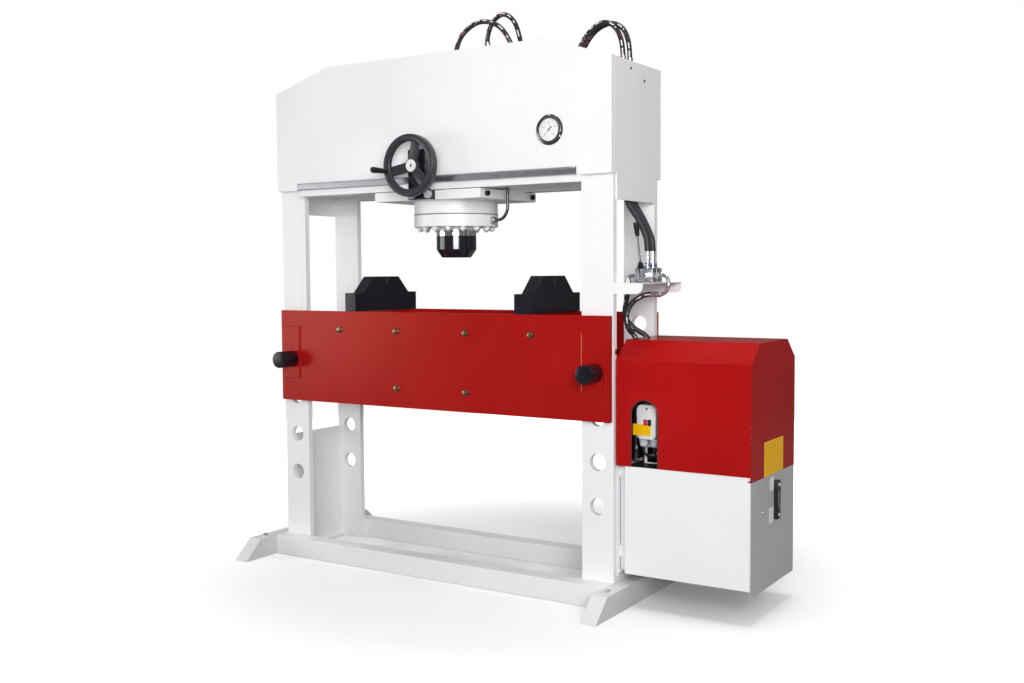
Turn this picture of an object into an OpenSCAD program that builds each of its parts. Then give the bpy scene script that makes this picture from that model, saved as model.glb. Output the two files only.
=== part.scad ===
// Portal workshop press: a cylinder that travels under the crown, a pinned table and a side power unit
// X runs along the front, Y towards the back, Z up from the floor, in millimetres

/* [Frame] */
// Clear width between the left and right uprights
clear_w = 1570; // [1540:10:1640]
// Width of one upright seen from the front
upright_w = 152; // [144:2:170]
// Thickness of an upright plate
upright_t = 30; // [26:1:34]
// Depth over the outer faces of the uprights
frame_d = 430; // [420:2:450]
// Thickness of the crown and table plates
plate_t = 25; // [22:1:28]
// Height of the lower side plates
side_h = 598; // [560:2:640]
// Thickness of the lower side plates
side_t = 12; // [8:1:14]
// Width of the foot flange inside a lower side plate
foot_w = 25; // [15:1:40]

/* [Base] */
// Height of the skids and sills
base_h = 94; // [84:1:104]
// Width of a skid
skid_w = 73; // [64:1:90]
// Length of a skid along the floor
skid_len = 1030; // [980:5:1100]
// Run of the sloped skid ends
skid_run = 102; // [80:1:120]
// Sheet thickness of the folded skids
skid_wall = 8; // [5:1:10]
// Depth of a sill
sill_d = 84; // [70:1:100]
// Wall of the sill tubes
sill_wall = 6; // [4:1:8]
// Distance of the levelling screws from the middle, along the skid
level_y = 342; // [320:1:360]
// Diameter of a levelling screw
level_d = 16; // [12:1:20]

/* [Crown] */
// Height of the crown's lower edge above the floor
crown_z = 1829; // [1810:1:1860]
// Height of the crown plates at their ends
crown_side_h = 485; // [460:1:520]
// Rise of the chamfered top above the ends
crown_rise = 101; // [80:1:120]
// Width of the level top edge
crown_top_w = 1220; // [1160:10:1300]
// Thickness of the crown end plates
end_t = 5; // [4:1:8]
// Depth of the lower tongue of an end plate
tongue_d = 384; // [372:2:400]
// Drop of the tongue below the crown
tongue_drop = 108; // [90:1:130]

/* [Rails and rack] */
// Height of the rails
rail_h = 30; // [26:1:36]
// How far a rail lip stands out past the crown plate
rail_lip = 6; // [3:1:10]
// Gap between the two rails, where the cylinder passes
rail_gap = 300; // [296:2:306]
// Length of a rail lip
rail_len = 1584; // [1576:2:1592]
// Tooth module of rack and pinion
gear_m = 4; // [4:1:5]
// Number of pinion teeth
pinion_n = 24; // [22:1:26]
// Thickness of the rack
rack_t = 25; // [22:1:28]
// Length of the rack
rack_len = 1566; // [1540:2:1568]
// Height of the rack's foot above the crown's lower edge
rack_up = 3; // [2:1:8]
// Height of the rack below its teeth
rack_body = 21; // [18:1:26]
// Tooth play between rack and pinion
gear_play = 0.3; // [0.2:0.1:0.5]

/* [Table] */
// Length of the table
table_len = 1864; // [1850:2:1870]
// Height of the table plates
table_h = 451; // [430:1:470]
// Running gap between table plates and uprights
table_play = 1.5; // [1:0.5:3]
// Height of the lowest pin hole above the floor
hole_z = 415; // [400:1:430]
// Spacing of the pin holes
hole_pitch = 192; // [186:1:196]
// Number of pin holes in an upright
hole_n = 5; // [5:1:6]
// Hole that the table hangs in, counted from the lowest
hole_row = 3; // [3:1:3]
// Height of the pin above the table's lower edge
table_pin_up = 208; // [190:1:230]
// Diameter of the pin holes
hole_d = 74; // [70:1:78]
// Radial gap around a table pin
pin_gap = 0.3; // [0.2:0.1:0.6]
// Diameter of a pin's head
pin_head_d = 81; // [80:1:90]
// Length of a pin's head
pin_head_len = 102; // [80:1:120]
// Stub of a pin behind the rear plate
pin_stub = 4; // [2:1:20]
// Diameter of the tie bolts
tie_d = 20; // [16:1:22]
// Outer diameter of the spacer tubes
tube_d = 44; // [38:1:50]
// Distance of the inner tie bolts from the middle
tie_x = 198; // [180:1:210]
// Distance of the outer tie bolts from the middle
tie_far_x = 545; // [500:1:600]
// Distance of the tie bolts from the table's edges
tie_edge = 90; // [80:1:100]

/* [Supporting blocks] */
// Middle of the left block
block_left_x = -477; // [-490:1:-470]
// Middle of the right block
block_right_x = 493; // [480:1:500]
// Thickness of a block along the table
block_t = 66; // [56:1:70]
// Height of a block's straight foot
block_foot = 89; // [80:1:100]
// Height of a block
block_h = 168; // [155:1:180]
// Step from the foot to the slope
block_step = 64; // [50:1:80]
// Width of a block's top
block_top = 196; // [180:1:210]
// Half width and depth of the vee
vee = 36; // [30:1:40]

/* [Carriage and cylinder] */
// Middle of the carriage along the crown
carriage_x = -15; // [-40:1:20]
// Length of the carriage plate
carriage_len = 600; // [570:2:620]
// Thickness of the carriage plate
carriage_t = 42; // [38:1:46]
// Running gap between carriage plate and rails
carriage_play = 3; // [2:1:5]
// Diameter of the cylinder's lower body
body_d = 397; // [385:1:410]
// Height of the cylinder's lower body
body_h = 60; // [54:1:66]
// Diameter of the barrel inside the crown
barrel_d = 290; // [284:1:294]
// Bore of the barrel
bore_d = 240; // [230:1:250]
// Length of the barrel above the carriage plate
barrel_len = 434; // [420:1:450]
// Thickness of the barrel's closed end
barrel_end = 40; // [30:1:50]
// Length of the square flange that slides on the rails
flange_len = 410; // [380:2:420]
// Thickness of that flange
flange_t = 40; // [34:1:46]
// Height of the gland ring
gland_h = 60; // [54:1:66]
// Depth of the gland's spigot in the bore
gland_spigot = 30; // [24:1:36]
// Number of gland bolts
gland_bolt_n = 16; // [12:1:18]
// Diameter of the gland bolts
gland_bolt_d = 18; // [16:1:20]
// Distance of the gland bolts from the cylinder's edge
gland_edge = 24.5; // [22:0.5:28]
// Diameter of the ram
ram_d = 190; // [180:1:196]
// Stroke of the ram
ram_stroke = 350; // [300:5:355]
// Length of the piston head
piston_len = 70; // [60:1:80]
// Bright ram length that shows above the nose
ram_show = 42; // [34:1:50]
// Height of the nose
nose_h = 101; // [90:1:110]
// Height of the nose's chamfer
nose_chamfer = 37; // [30:1:42]
// Diameter of the nose's face
nose_d = 139; // [130:1:150]
// Diameter of the nose's spigot
nose_spigot_d = 80; // [60:1:90]
// Length of the nose's spigot
nose_spigot_h = 40; // [30:1:45]
// Diameter of the steel pipes
pipe_d = 14; // [12:1:16]

/* [Handwheel] */
// Outer diameter of the wheel
wheel_d = 280; // [270:1:290]
// Width of the rim seen from the front
rim_w = 30; // [24:1:34]
// Depth of the rim
rim_t = 28; // [24:1:32]
// Distance of the wheel from the carriage's middle
wheel_off = -25; // [-30:1:-20]
// Distance from the crown plate to the rim's back
wheel_reach = 66; // [62:1:74]
// Diameter of the hub
hub_d = 62; // [54:1:70]
// Length of the hub
hub_len = 44; // [40:1:50]
// Width of a spoke
spoke_w = 34; // [28:1:38]
// Thickness of a spoke
spoke_t = 14; // [12:1:18]
// Angle of the spoke that carries the handle
spoke_turn = 190; // [180:1:200]
// Diameter of the pinion shaft
shaft_d = 30; // [26:1:34]
// Length of the revolving handle
handle_len = 112; // [90:1:120]
// Diameter of the handle at its end
handle_d = 30; // [26:1:34]
// Diameter of the handle's pin
handle_pin_d = 10; // [8:1:12]
// Width of the wheel bracket
bracket_w = 90; // [84:1:96]
// Thickness of the wheel bracket
bracket_t = 12; // [10:1:13]
// Height of the bracket above the shaft
bracket_up = 76; // [60:1:90]
// Width of the bracket's foot past its side
bracket_foot = 32; // [28:1:40]

/* [Gauge] */
// Distance of the gauge from the press's middle
gauge_x = 645; // [630:1:660]
// Height of the gauge above the crown's lower edge
gauge_up = 197; // [180:1:220]
// Diameter of the gauge's flange
gauge_d = 132; // [126:1:140]
// Diameter of the gauge's drum
drum_d = 114; // [108:1:118]
// Diameter of the dial
dial_d = 100; // [96:1:102]
// How far the drum stands out
drum_h = 26; // [24:1:32]

/* [Valve shelf] */
// Height of the shelf
shelf_z = 1371; // [1350:1:1390]
// Depth of the shelf along the press
shelf_len = 396; // [392:1:404]
// Reach of the shelf from the uprights
shelf_w = 131; // [124:1:140]
// Sheet thickness of the shelf
shelf_t = 4; // [3:1:5]
// Height of the shelf's flanges
shelf_flange = 46; // [40:1:52]
// Corner radius of the flanges
shelf_r = 30; // [20:1:36]
// Length of the valve body
valve_len = 100; // [90:1:110]
// Width of the valve body
valve_w = 80; // [74:1:84]
// Height of the valve body
valve_h = 62; // [56:1:68]
// Length of the valve's lever housing
neck_len = 36; // [30:1:42]
// Length of the lever from its pivot to the grip's top
lever_len = 232; // [200:1:250]
// Length of the lever's grip
grip_len = 60; // [50:1:70]
// Lean of the lever at rest
lever_lean = 14; // [8:1:18]
// Diameter of the lever
lever_d = 10; // [8:1:12]

/* [Power unit] */
// Distance of the tank from the upright
tank_gap = 46; // [40:1:52]
// Length of the tank
tank_len = 557; // [540:1:580]
// Depth of the tank
tank_d = 520; // [500:2:540]
// Front of the tank behind the press's front upright face
tank_set = 13; // [10:1:20]
// Height of the tank's underside
tank_z = 140; // [130:1:150]
// Height of the tank's lid
tank_top = 600; // [596:1:610]
// Wall of the tank
tank_t = 4; // [3:1:5]
// Drop of the side panel below the tank
panel_drop = 28; // [20:1:36]
// Sheet thickness of the red cover
cover_t = 3; // [2:0.5:4]
// Height of the cover's walls
cover_h = 449; // [430:1:470]
// Height of the cover's chamfers
cover_rise = 81; // [70:1:90]
// Run of the cover's chamfers
cover_run = 98; // [90:1:110]
// Gap between cover and upright
cover_gap = 7; // [5:1:12]
// Drop of the cover's right skirt over the tank
skirt_drop = 22; // [16:1:30]
// Width of the arched opening
arch_w = 122; // [116:1:130]
// Height of the arched opening
arch_h = 284; // [270:1:290]
// Distance of the arch from the upright
arch_x = 138; // [130:1:150]
// Diameter of the motor
motor_d = 210; // [200:2:220]
// Height of the motor
motor_h = 330; // [300:2:340]
// Distance of the motor from the upright
motor_x = 270; // [260:1:290]
// Depth of the motor behind the press's middle
motor_y = 90; // [80:1:100]
// Width of the starter box
starter_w = 88; // [84:1:92]
// Height of the starter box
starter_h = 160; // [150:1:164]
// Depth of the starter box
starter_d = 76; // [70:1:80]
// Gap between the cover's front and the starter box
starter_set = 44; // [40:1:50]
// Height of the starter box above the tank
starter_up = 99; // [94:1:104]
// Width of a push button
button_w = 15; // [12:1:16]
// Height of a push button
button_h = 25; // [20:1:28]
// Travel of a push button
button_travel = 4; // [3:1:5]
// Bolt spacing of the oil level gauge
sight_pitch = 127; // [120:1:130]
// Width of the oil level gauge
sight_w = 30; // [26:1:34]
// Depth of the oil level gauge
sight_t = 25; // [22:1:28]

/* [Hoses] */
// Diameter of the long hoses over the crown
hose_d = 22; // [18:1:24]
// Diameter of the hoses at the valve
valve_hose_d = 26; // [22:1:28]
// Diameter of the starter's cables
cable_d = 10; // [8:1:12]
// Length of a crimped hose end
ferrule_len = 56; // [48:1:60]

/* [Hidden] */
$fn = 48;
// Play of sliding flat faces
slide_gap = 0.3;
// Radial play of a running shaft
run_gap = 0.05;
// Radial play of a bolt in its hole
bolt_gap = 0.5;
// Extra length so that cuts pass right through
cut = 1;

upright_in = clear_w / 2;
upright_out = upright_in + upright_w;
half_d = frame_d / 2;
inner_d = half_d - upright_t;
front_y = -half_d - plate_t;
skid_out = upright_out + skid_w;
crown_half = upright_out + end_t;
crown_end_z = crown_z + crown_side_h;
crown_top_z = crown_end_z + crown_rise;
tongue_z = crown_z - tongue_drop;

pin_x = upright_in + upright_w / 2;
pin_z = hole_z + hole_row * hole_pitch;
pin_d = hole_d - 2 * pin_gap;
table_y = half_d + table_play;
table_front = -table_y - plate_t;
table_z = pin_z - table_pin_up;
table_top = table_z + table_h;
tie_af = 1.5 * tie_d;
tie_head = 0.65 * tie_d;
tie_low_z = table_z + tie_edge;
tie_high_z = table_top - tie_edge;
tie_spots = [
  [-tie_far_x, tie_high_z],
  [-tie_x, tie_high_z],
  [tie_x, tie_high_z],
  [tie_far_x, tie_high_z],
  [-tie_x, tie_low_z],
  [tie_x, tie_low_z]
];

rail_z = crown_z - rail_h;
carriage_top = rail_z - carriage_play;
carriage_z = carriage_top - carriage_t;
carriage_d = frame_d + 2 * plate_t;
flange_z = crown_z + slide_gap;
flange_d = frame_d - 20;
gland_top = carriage_z - body_h;
gland_z = gland_top - gland_h;
barrel_top = carriage_top + barrel_len;
bore_top = barrel_top - barrel_end;
gland_head = 20;
gland_rim = 1.5;
gland_pcd = body_d - 2 * gland_edge;
gland_af = 1.6 * gland_bolt_d;
ram_z = gland_z - ram_show;
nose_z = ram_z - nose_h;
piston_top = bore_top - 10;
piston_gap = 0.3;

pitch = PI * gear_m;
pinion_r = gear_m * pinion_n / 2;
rack_z = crown_z + rack_up;
rack_line = rack_z + rack_body + 1.25 * gear_m;
rack_y = front_y - rack_t;
rail_front = front_y - rail_lip;
rack_stop_t = 6;
wheel_x = carriage_x + wheel_off;
wheel_z = rack_line + pinion_r;
bracket_y = rack_y - 4 - bracket_t;
boss_len = 10;
rim_y = front_y - wheel_reach - rim_t;
hub_y = rim_y - 10;
shaft_end = hub_y + 8;
handle_r = wheel_d / 2 - rim_w / 2;
handle_y = rim_y - 2;
handle_x = wheel_x + handle_r * cos(spoke_turn);
handle_z = wheel_z + handle_r * sin(spoke_turn);
bracket_bolt_d = 16;
bracket_bolt_x = wheel_x + bracket_w / 2 + bracket_foot / 2;
bracket_bolt_z = carriage_z + carriage_t / 2;

gauge_z = crown_z + gauge_up;
gauge_plate = 6;
gauge_back = 30;
dial_t = 1.5;
dial_y = front_y - drum_h + 14;

shelf_x = upright_out;
valve_x = shelf_x + 60;
valve_mid = valve_x;
valve_top = shelf_z + valve_h;
lever_y = -valve_len / 2 - neck_len / 2;
lever_z = shelf_z + valve_h / 2;

cover_x = upright_out + cover_gap;
tank_x = upright_out + tank_gap;
unit_x = tank_x + tank_len;
tank_y = -half_d + tank_set;
unit_y = tank_y - cover_t;
unit_back = tank_y + tank_d + cover_t;
cover_top = tank_top + cover_h + cover_rise;
arch_mid = upright_out + arch_x;
starter_x = arch_mid - 12;
starter_y = unit_y + starter_set;
starter_z = tank_top + starter_up;
motor_mid = upright_out + motor_x;
button_z = starter_z + 86;
button_out = 5;
sight_y = 80;
stand_leg = 12;
pump_hole_d = 100;
pump_neck_h = 60;
pump_w = 100;
pump_d = 110;
pump_h = 130;
strainer_d = 70;
strainer_h = 60;
strainer_up = 30;
suction_d = 30;
sight_z = tank_top - 133;

// The long hoses end on the right in two upright pipes inside the crown
drop_x = upright_out - 52;
drop_y = [-20, 45];
drop_top = crown_end_z - 24;
drop_low = crown_z + 20;
port_x = [carriage_x + 29, carriage_x + 160];
port_y = [-40, 40];
port_z = [barrel_top + 30, crown_top_z + 25];

// Half of the difference between the right and left reach puts the origin under the middle of the outline
frame_shift = (unit_x + sight_t - skid_out) / 2;

// Points of the long hose that feeds the cylinder
hose_a_path = [
  [drop_x, drop_y[0], drop_top + ferrule_len],
  [drop_x - 11, drop_y[0], crown_top_z + 5],
  [drop_x - 45, drop_y[0], crown_top_z + 63],
  [drop_x - 99, drop_y[0] - 2, crown_top_z + 83],
  [drop_x - 155, drop_y[0] - 4, crown_top_z + 53],
  [drop_x - 195, drop_y[0] - 6, crown_top_z - 15],
  [drop_x - 235, drop_y[0] - 10, crown_top_z - 125],
  [drop_x - 305, drop_y[0] - 16, crown_top_z - 225],
  [drop_x - 395, port_y[0], crown_top_z - 265],
  [port_x[0] + 396, port_y[0] - 2, crown_top_z - 215],
  [port_x[0] + 350, port_y[0] - 2, crown_top_z - 105],
  [port_x[0] + 320, port_y[0] - 1, crown_top_z + 25],
  [port_x[0] + 248, port_y[0], crown_top_z + 127],
  [port_x[0] + 143, port_y[0], crown_top_z + 159],
  [port_x[0] + 48, port_y[0], crown_top_z + 115],
  [port_x[0] + 6, port_y[0], crown_top_z + 35],
  [port_x[0], port_y[0], crown_top_z - 55],
  [port_x[0], port_y[0], port_z[0] + ferrule_len]
];
// Points of the long hose that returns from the gland
hose_b_path = [
  [drop_x, drop_y[1], drop_top + ferrule_len],
  [drop_x - 9, drop_y[1], crown_top_z + 9],
  [drop_x - 39, drop_y[1] - 1, crown_top_z + 77],
  [drop_x - 95, drop_y[1] - 3, crown_top_z + 105],
  [drop_x - 153, drop_y[1] - 5, crown_top_z + 75],
  [drop_x - 195, drop_y[1] - 7, crown_top_z - 5],
  [drop_x - 235, drop_y[1] - 9, crown_top_z - 125],
  [drop_x - 305, drop_y[1] - 9, crown_top_z - 235],
  [drop_x - 395, drop_y[1] - 7, crown_top_z - 275],
  [port_x[1] + 265, port_y[1], crown_top_z - 225],
  [port_x[1] + 215, port_y[1], crown_top_z - 105],
  [port_x[1] + 185, port_y[1], crown_top_z + 55],
  [port_x[1] + 151, port_y[1], crown_top_z + 155],
  [port_x[1] + 93, port_y[1], crown_top_z + 199],
  [port_x[1] + 35, port_y[1], crown_top_z + 175],
  [port_x[1] + 5, port_y[1], crown_top_z + 120],
  [port_x[1], port_y[1], port_z[1] + ferrule_len]
];
// Route of the return pipe from the gland up to its hose
return_path = [
  [carriage_x + body_d / 2 + 30, 0, gland_z + gland_h / 2],
  [carriage_x + body_d / 2 + 66, 0, gland_z + gland_h / 2],
  [carriage_x + carriage_len / 2 + 12, 0, gland_z + gland_h / 2 + 26],
  [carriage_x + carriage_len / 2 + 18, 0, carriage_z - 30],
  [carriage_x + carriage_len / 2 + 18, 0, carriage_top + 80],
  [carriage_x + carriage_len / 2 + 6, 4, crown_z + 180],
  [carriage_x + carriage_len / 2 - 60, 20, crown_z + 300],
  [port_x[1] + 6, port_y[1], crown_z + 420],
  [port_x[1], port_y[1], crown_z + 520],
  [port_x[1], port_y[1], port_z[1]]
];
// Routes of the two hoses from the crown down to the valve
feed_top_z = [valve_top + 74, valve_top + 74];
feed_x = [valve_x + 2, valve_x + 8];
feed_y = [-14, 26];
feed_paths = [for (i = [0, 1]) [
  [drop_x, drop_y[i], drop_low],
  [drop_x + 2, drop_y[i], crown_z - 39],
  [drop_x + 26, drop_y[i], crown_z - 117],
  [upright_out + 21, (drop_y[i] + feed_y[i]) / 2, crown_z - 189],
  [feed_x[i] - 8, feed_y[i], feed_top_z[i] + 59],
  [feed_x[i], feed_y[i], feed_top_z[i]]
]];
// Routes of the two hoses from the valve down through the red cover to the tank's lid
pump_hole_x = [cover_x + 31, cover_x + 66];
pump_hole_y = [-76, -26];
side_x = upright_out + 103;
side_z = shelf_z - 49;
side_y = -60;
loop_x = upright_out - 27;
loop_z = shelf_z - 29;
pump_paths = [
  [
    [side_x, side_y, side_z],
    [side_x - 36, -64, side_z - 4],
    [upright_out + 29, -78, shelf_z - 83],
    [upright_out + 15, -86, shelf_z - 145],
    [pump_hole_x[0] - 15, -84, cover_top + 46],
    [pump_hole_x[0], pump_hole_y[0], cover_top],
    [pump_hole_x[0] + 4, pump_hole_y[0], cover_top - 90],
    [pump_hole_x[0], pump_hole_y[0], tank_top + 120],
    [pump_hole_x[0], pump_hole_y[0], tank_top]
  ],
  [
    [loop_x, -20, loop_z],
    [loop_x - 2, -22, shelf_z - 81],
    [loop_x + 12, -26, shelf_z - 149],
    [pump_hole_x[1] - 38, -27, cover_top + 46],
    [pump_hole_x[1], pump_hole_y[1], cover_top],
    [pump_hole_x[1], pump_hole_y[1], cover_top - 90],
    [pump_hole_x[1] - 12, pump_hole_y[1], tank_top + 120],
    [pump_hole_x[1] - 14, pump_hole_y[1], tank_top]
  ]
];
// Steel elbows between the valve and those hoses
elbow_paths = [
  [
    [valve_mid + valve_w / 2 + 24, -30, lever_z],
    [side_x + 44, -40, lever_z],
    [side_x + 68, -52, lever_z - 10],
    [side_x + 78, side_y, lever_z - 38],
    [side_x + 68, side_y, side_z + 14],
    [side_x + 48, side_y, side_z],
    [side_x + 30, side_y, side_z]
  ],
  [
    [valve_mid - valve_w / 2 - 10, -20, lever_z],
    [loop_x + 16, -20, lever_z],
    [loop_x + 3, -20, lever_z - 8],
    [loop_x, -20, lever_z - 20]
  ]
];
// Routes of the starter's cables
gland_x = [starter_x - 20, starter_x + 22];
gland_len = 30;
box_w = 100;
box_x = motor_mid - box_w / 2;
cable_y = starter_y + starter_d / 2;
cable_paths = [
  [
    [gland_x[0], cable_y, starter_z - gland_len],
    [gland_x[0], cable_y + 4, tank_top + 46],
    [gland_x[0] + 8, starter_y + starter_d + 1, tank_top + 24],
    [gland_x[0] + 30, -40, tank_top + 30],
    [gland_x[0] + 60, -10, tank_top + 100],
    [box_x - 34, 0, tank_top + 144],
    [box_x, 0, tank_top + 150]
  ],
  [
    [gland_x[1], cable_y, starter_z - gland_len],
    [gland_x[1] - 2, cable_y + 4, tank_top + 50],
    [gland_x[1] - 6, starter_y + starter_d + 1, tank_top + 32],
    [gland_x[1] + 8, -52, tank_top + 60],
    [gland_x[1] + 28, -34, tank_top + 130],
    [box_x - 28, -30, tank_top + 170],
    [box_x, -30, tank_top + 176]
  ]
];

white = [0.93, 0.93, 0.94];
red = [0.70, 0.07, 0.08];
black = [0.10, 0.10, 0.13];
steel = [0.75, 0.76, 0.78];
dark = [0.18, 0.18, 0.20];

// Moves the press from its own middle plane to the middle of its outline
module placed(c) color(c) translate([-frame_shift, 0, 0]) children();

// A box between two corners
module block(low, high) translate(low) cube(high - low);

// A round bar along Y from a point
module bar_y(p, d, len) translate(p) rotate([-90, 0, 0]) cylinder(d = d, h = len);

// A round bar along X from a point
module bar_x(p, d, len) translate(p) rotate([0, 90, 0]) cylinder(d = d, h = len);

// A hexagon along Y, given across its flats
module hex_y(p, af, len) translate(p) rotate([-90, 0, 0]) cylinder(d = af / cos(30), h = len, $fn = 6);

// A hexagon standing along Z
module hex_z(p, af, len) translate(p) cylinder(d = af / cos(30), h = len, $fn = 6);

// An outline in X and Z, made a plate from y towards the back
module plate_xz(points, y, t) translate([0, y + t, 0]) rotate([90, 0, 0]) linear_extrude(t) polygon(points);

// An outline in Y and Z, made a plate from x to the right
module plate_yz(points, x, t) translate([x, 0, 0]) rotate([90, 0, 90]) linear_extrude(t) polygon(points);

// A smooth curve through the points of a route
function curve_at(p, i, t) =
  let (a = p[max(i - 1, 0)], b = p[i], c = p[i + 1], d = p[min(i + 2, len(p) - 1)])
  0.5 * (2 * b + (c - a) * t + (2 * a - 5 * b + 4 * c - d) * t * t + (3 * b - a - 3 * c + d) * t * t * t);
function curve(p, n) = concat([for (i = [0 : len(p) - 2]) for (j = [0 : n - 1]) curve_at(p, i, j / n)],
                              [p[len(p) - 1]]);
function unit(v) = v / norm(v);
// The ends of a route point straight along the nearest axis, so that they lie flat on their fittings
function squared(v) = let (m = max(abs(v[0]), abs(v[1]), abs(v[2]))) [for (k = v) abs(k) == m ? sign(k) : 0];
function chord(p, i) = p[min(i + 1, len(p) - 1)] - p[max(i - 1, 0)];
function tangent(p, i) = i == 0 || i == len(p) - 1 ? squared(chord(p, i)) : unit(chord(p, i));
function across(u, t) = unit(u - (u * t) * t);
function sides(p, i = 0, u = [0.3, 1, 0.2]) =
  i == len(p) ? [] : let (v = across(u, tangent(p, i))) concat([v], sides(p, i + 1, v));

// A round tube along a route, with m faces round it and n rings a stretch
module tube_along(route, d, n = 2, m = 10) {
  path = curve(route, n);
  side = sides(path);
  last = len(path) - 1;
  points = [for (i = [0 : last]) for (k = [0 : m - 1])
    let (v = cross(tangent(path, i), side[i]))
    path[i] + d / 2 * (cos(360 * k / m) * side[i] + sin(360 * k / m) * v)];
  walls = [for (i = [0 : last - 1]) for (k = [0 : m - 1])
    let (a = i * m + k, b = i * m + (k + 1) % m)
    each [[a, b + m, b], [a, a + m, b + m]]];
  first_cap = [for (k = [0 : m - 1]) k];
  last_cap = [for (k = [0 : m - 1]) last * m + m - 1 - k];
  polyhedron(points, concat(walls, [first_cap], [last_cap]), convexity = 10);
}

// Folded skid, open below, with sloped ends
module skid(x) {
  slant = norm([skid_run, base_h]) / base_h;
  half = skid_len / 2;
  inner_foot = half - skid_wall * slant;
  inner_top = half - skid_run * (base_h - skid_wall) / base_h - skid_wall * slant;
  difference() {
    plate_yz([[-half, 0], [half, 0], [half - skid_run, base_h], [skid_run - half, base_h]], x, skid_w);
    plate_yz([[-inner_foot, -cut], [inner_foot, -cut], [inner_foot, 0], [inner_top, base_h - skid_wall],
              [-inner_top, base_h - skid_wall], [-inner_foot, 0]], x + skid_wall, skid_w - 2 * skid_wall);
    for (y = [-level_y, level_y])
      translate([x + skid_w / 2, y, 0]) cylinder(d = level_d + 2 * bolt_gap, h = base_h + cut);
  }
}

// Sill tube between the skids
module sill(y) {
  difference() {
    block([-upright_out, y, 0], [upright_out, y + sill_d, base_h]);
    block([-upright_out - cut, y + sill_wall, sill_wall],
          [upright_out + cut, y + sill_d - sill_wall, base_h - sill_wall]);
  }
}

module left_skid() placed(white) skid(-skid_out);
module right_skid() placed(white) skid(upright_out);
module front_sill() placed(white) sill(-half_d - sill_d);
module rear_sill() placed(white) sill(half_d);

// Hexagon screws through the skids, with their ends just off the floor
module levelling_screws() placed(steel) {
  for (s = [-1, 1], y = [-level_y, level_y]) {
    hex_z([s * (upright_out + skid_w / 2), y, base_h], 1.5 * level_d, 0.7 * level_d);
    translate([s * (upright_out + skid_w / 2), y, cut]) cylinder(d = level_d, h = base_h);
  }
}

// Upright plate with its row of pin holes
module upright(x, y) {
  difference() {
    block([x, y, 0], [x + upright_w, y + upright_t, crown_end_z - upright_t]);
    for (i = [0 : hole_n - 1])
      bar_y([x + upright_w / 2, y - cut, hole_z + i * hole_pitch], hole_d, upright_t + 2 * cut);
  }
}

module upright_front_left() placed(white) upright(-upright_out, -half_d);
module upright_front_right() placed(white) upright(upright_in, -half_d);
module upright_rear_left() placed(white) upright(-upright_out, inner_d);
module upright_rear_right() placed(white) upright(upright_in, inner_d);

// Plates that tie front and rear uprights together near the floor
module side_plates() placed(white) {
  for (s = [0, 1]) mirror([s, 0, 0]) {
    block([upright_out - side_t, -inner_d, 0], [upright_out, inner_d, side_h]);
    block([upright_out - side_t - foot_w, -inner_d, 0], [upright_out - side_t, inner_d, side_t]);
  }
}

crown_outline = [
  [-crown_half, crown_z], [crown_half, crown_z], [crown_half, crown_end_z],
  [crown_top_w / 2, crown_top_z], [-crown_top_w / 2, crown_top_z], [-crown_half, crown_end_z]
];

module crown_front_plate() placed(white) difference() {
  plate_xz(crown_outline, front_y, plate_t);
  bar_y([gauge_x, front_y - cut, gauge_z], drum_d - gauge_back + 2 * bolt_gap, plate_t + 2 * cut);
}

module crown_rear_plate() placed(white) plate_xz(crown_outline, half_d, plate_t);

// End plates with a narrower tongue between the uprights
module crown_ends() placed(white) {
  outline = [
    [-tongue_d / 2, tongue_z], [tongue_d / 2, tongue_z], [tongue_d / 2, crown_z], [half_d, crown_z],
    [half_d, crown_end_z], [-half_d, crown_end_z], [-half_d, crown_z], [-tongue_d / 2, crown_z]
  ];
  plate_yz(outline, upright_out, end_t);
  plate_yz(outline, -crown_half, end_t);
}

// Rail bar under a crown plate; its lip passes in front of the uprights
module rail() {
  lip_back = -half_d - table_play;
  translate([0, 0, rail_z]) linear_extrude(rail_h) polygon([
    [-rail_len / 2, rail_front], [rail_len / 2, rail_front], [rail_len / 2, lip_back],
    [upright_in - table_play, lip_back], [upright_in - table_play, -rail_gap / 2],
    [table_play - upright_in, -rail_gap / 2], [table_play - upright_in, lip_back], [-rail_len / 2, lip_back]
  ]);
}

module front_rail() placed(white) rail();
module rear_rail() placed(white) mirror([0, 1, 0]) rail();

// Rack with straight-flanked teeth and a small plate on each end; one tooth stands under the pinion's axis
module rack() placed(steel) {
  half = pitch / 4 - gear_play / 4;
  tip = half - gear_m * tan(20);
  root = half + 1.25 * gear_m * tan(20);
  top = rack_line + gear_m;
  low = rack_line - 1.25 * gear_m;
  reach = rack_len / 2 - pitch / 2;
  first = ceil((-reach - wheel_x) / pitch);
  last = floor((reach - wheel_x) / pitch);
  teeth = [for (k = [last : -1 : first])
    let (x = wheel_x + k * pitch) each [[x + root, low], [x + tip, top], [x - tip, top], [x - root, low]]];
  ends = [[-rack_len / 2, low], [-rack_len / 2, rack_z], [rack_len / 2, rack_z], [rack_len / 2, low]];
  plate_xz(concat(teeth, ends), rack_y, rack_t);
  for (s = [0, 1]) mirror([s, 0, 0])
    block([rack_len / 2 - cut, rack_y, crown_z], [rack_len / 2 + rack_stop_t, rack_y + rack_t, top]);
}

// Flanged gauge with its drum open to the front
module gauge_case() placed(black) difference() {
  union() {
    bar_y([gauge_x, front_y - gauge_plate, gauge_z], gauge_d, gauge_plate);
    bar_y([gauge_x, front_y - drum_h, gauge_z], drum_d, drum_h);
    bar_y([gauge_x, front_y - cut, gauge_z], drum_d - gauge_back, gauge_back);
  }
  bar_y([gauge_x, front_y - drum_h - cut, gauge_z], dial_d, dial_y + dial_t - front_y + drum_h + cut);
}

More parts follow.
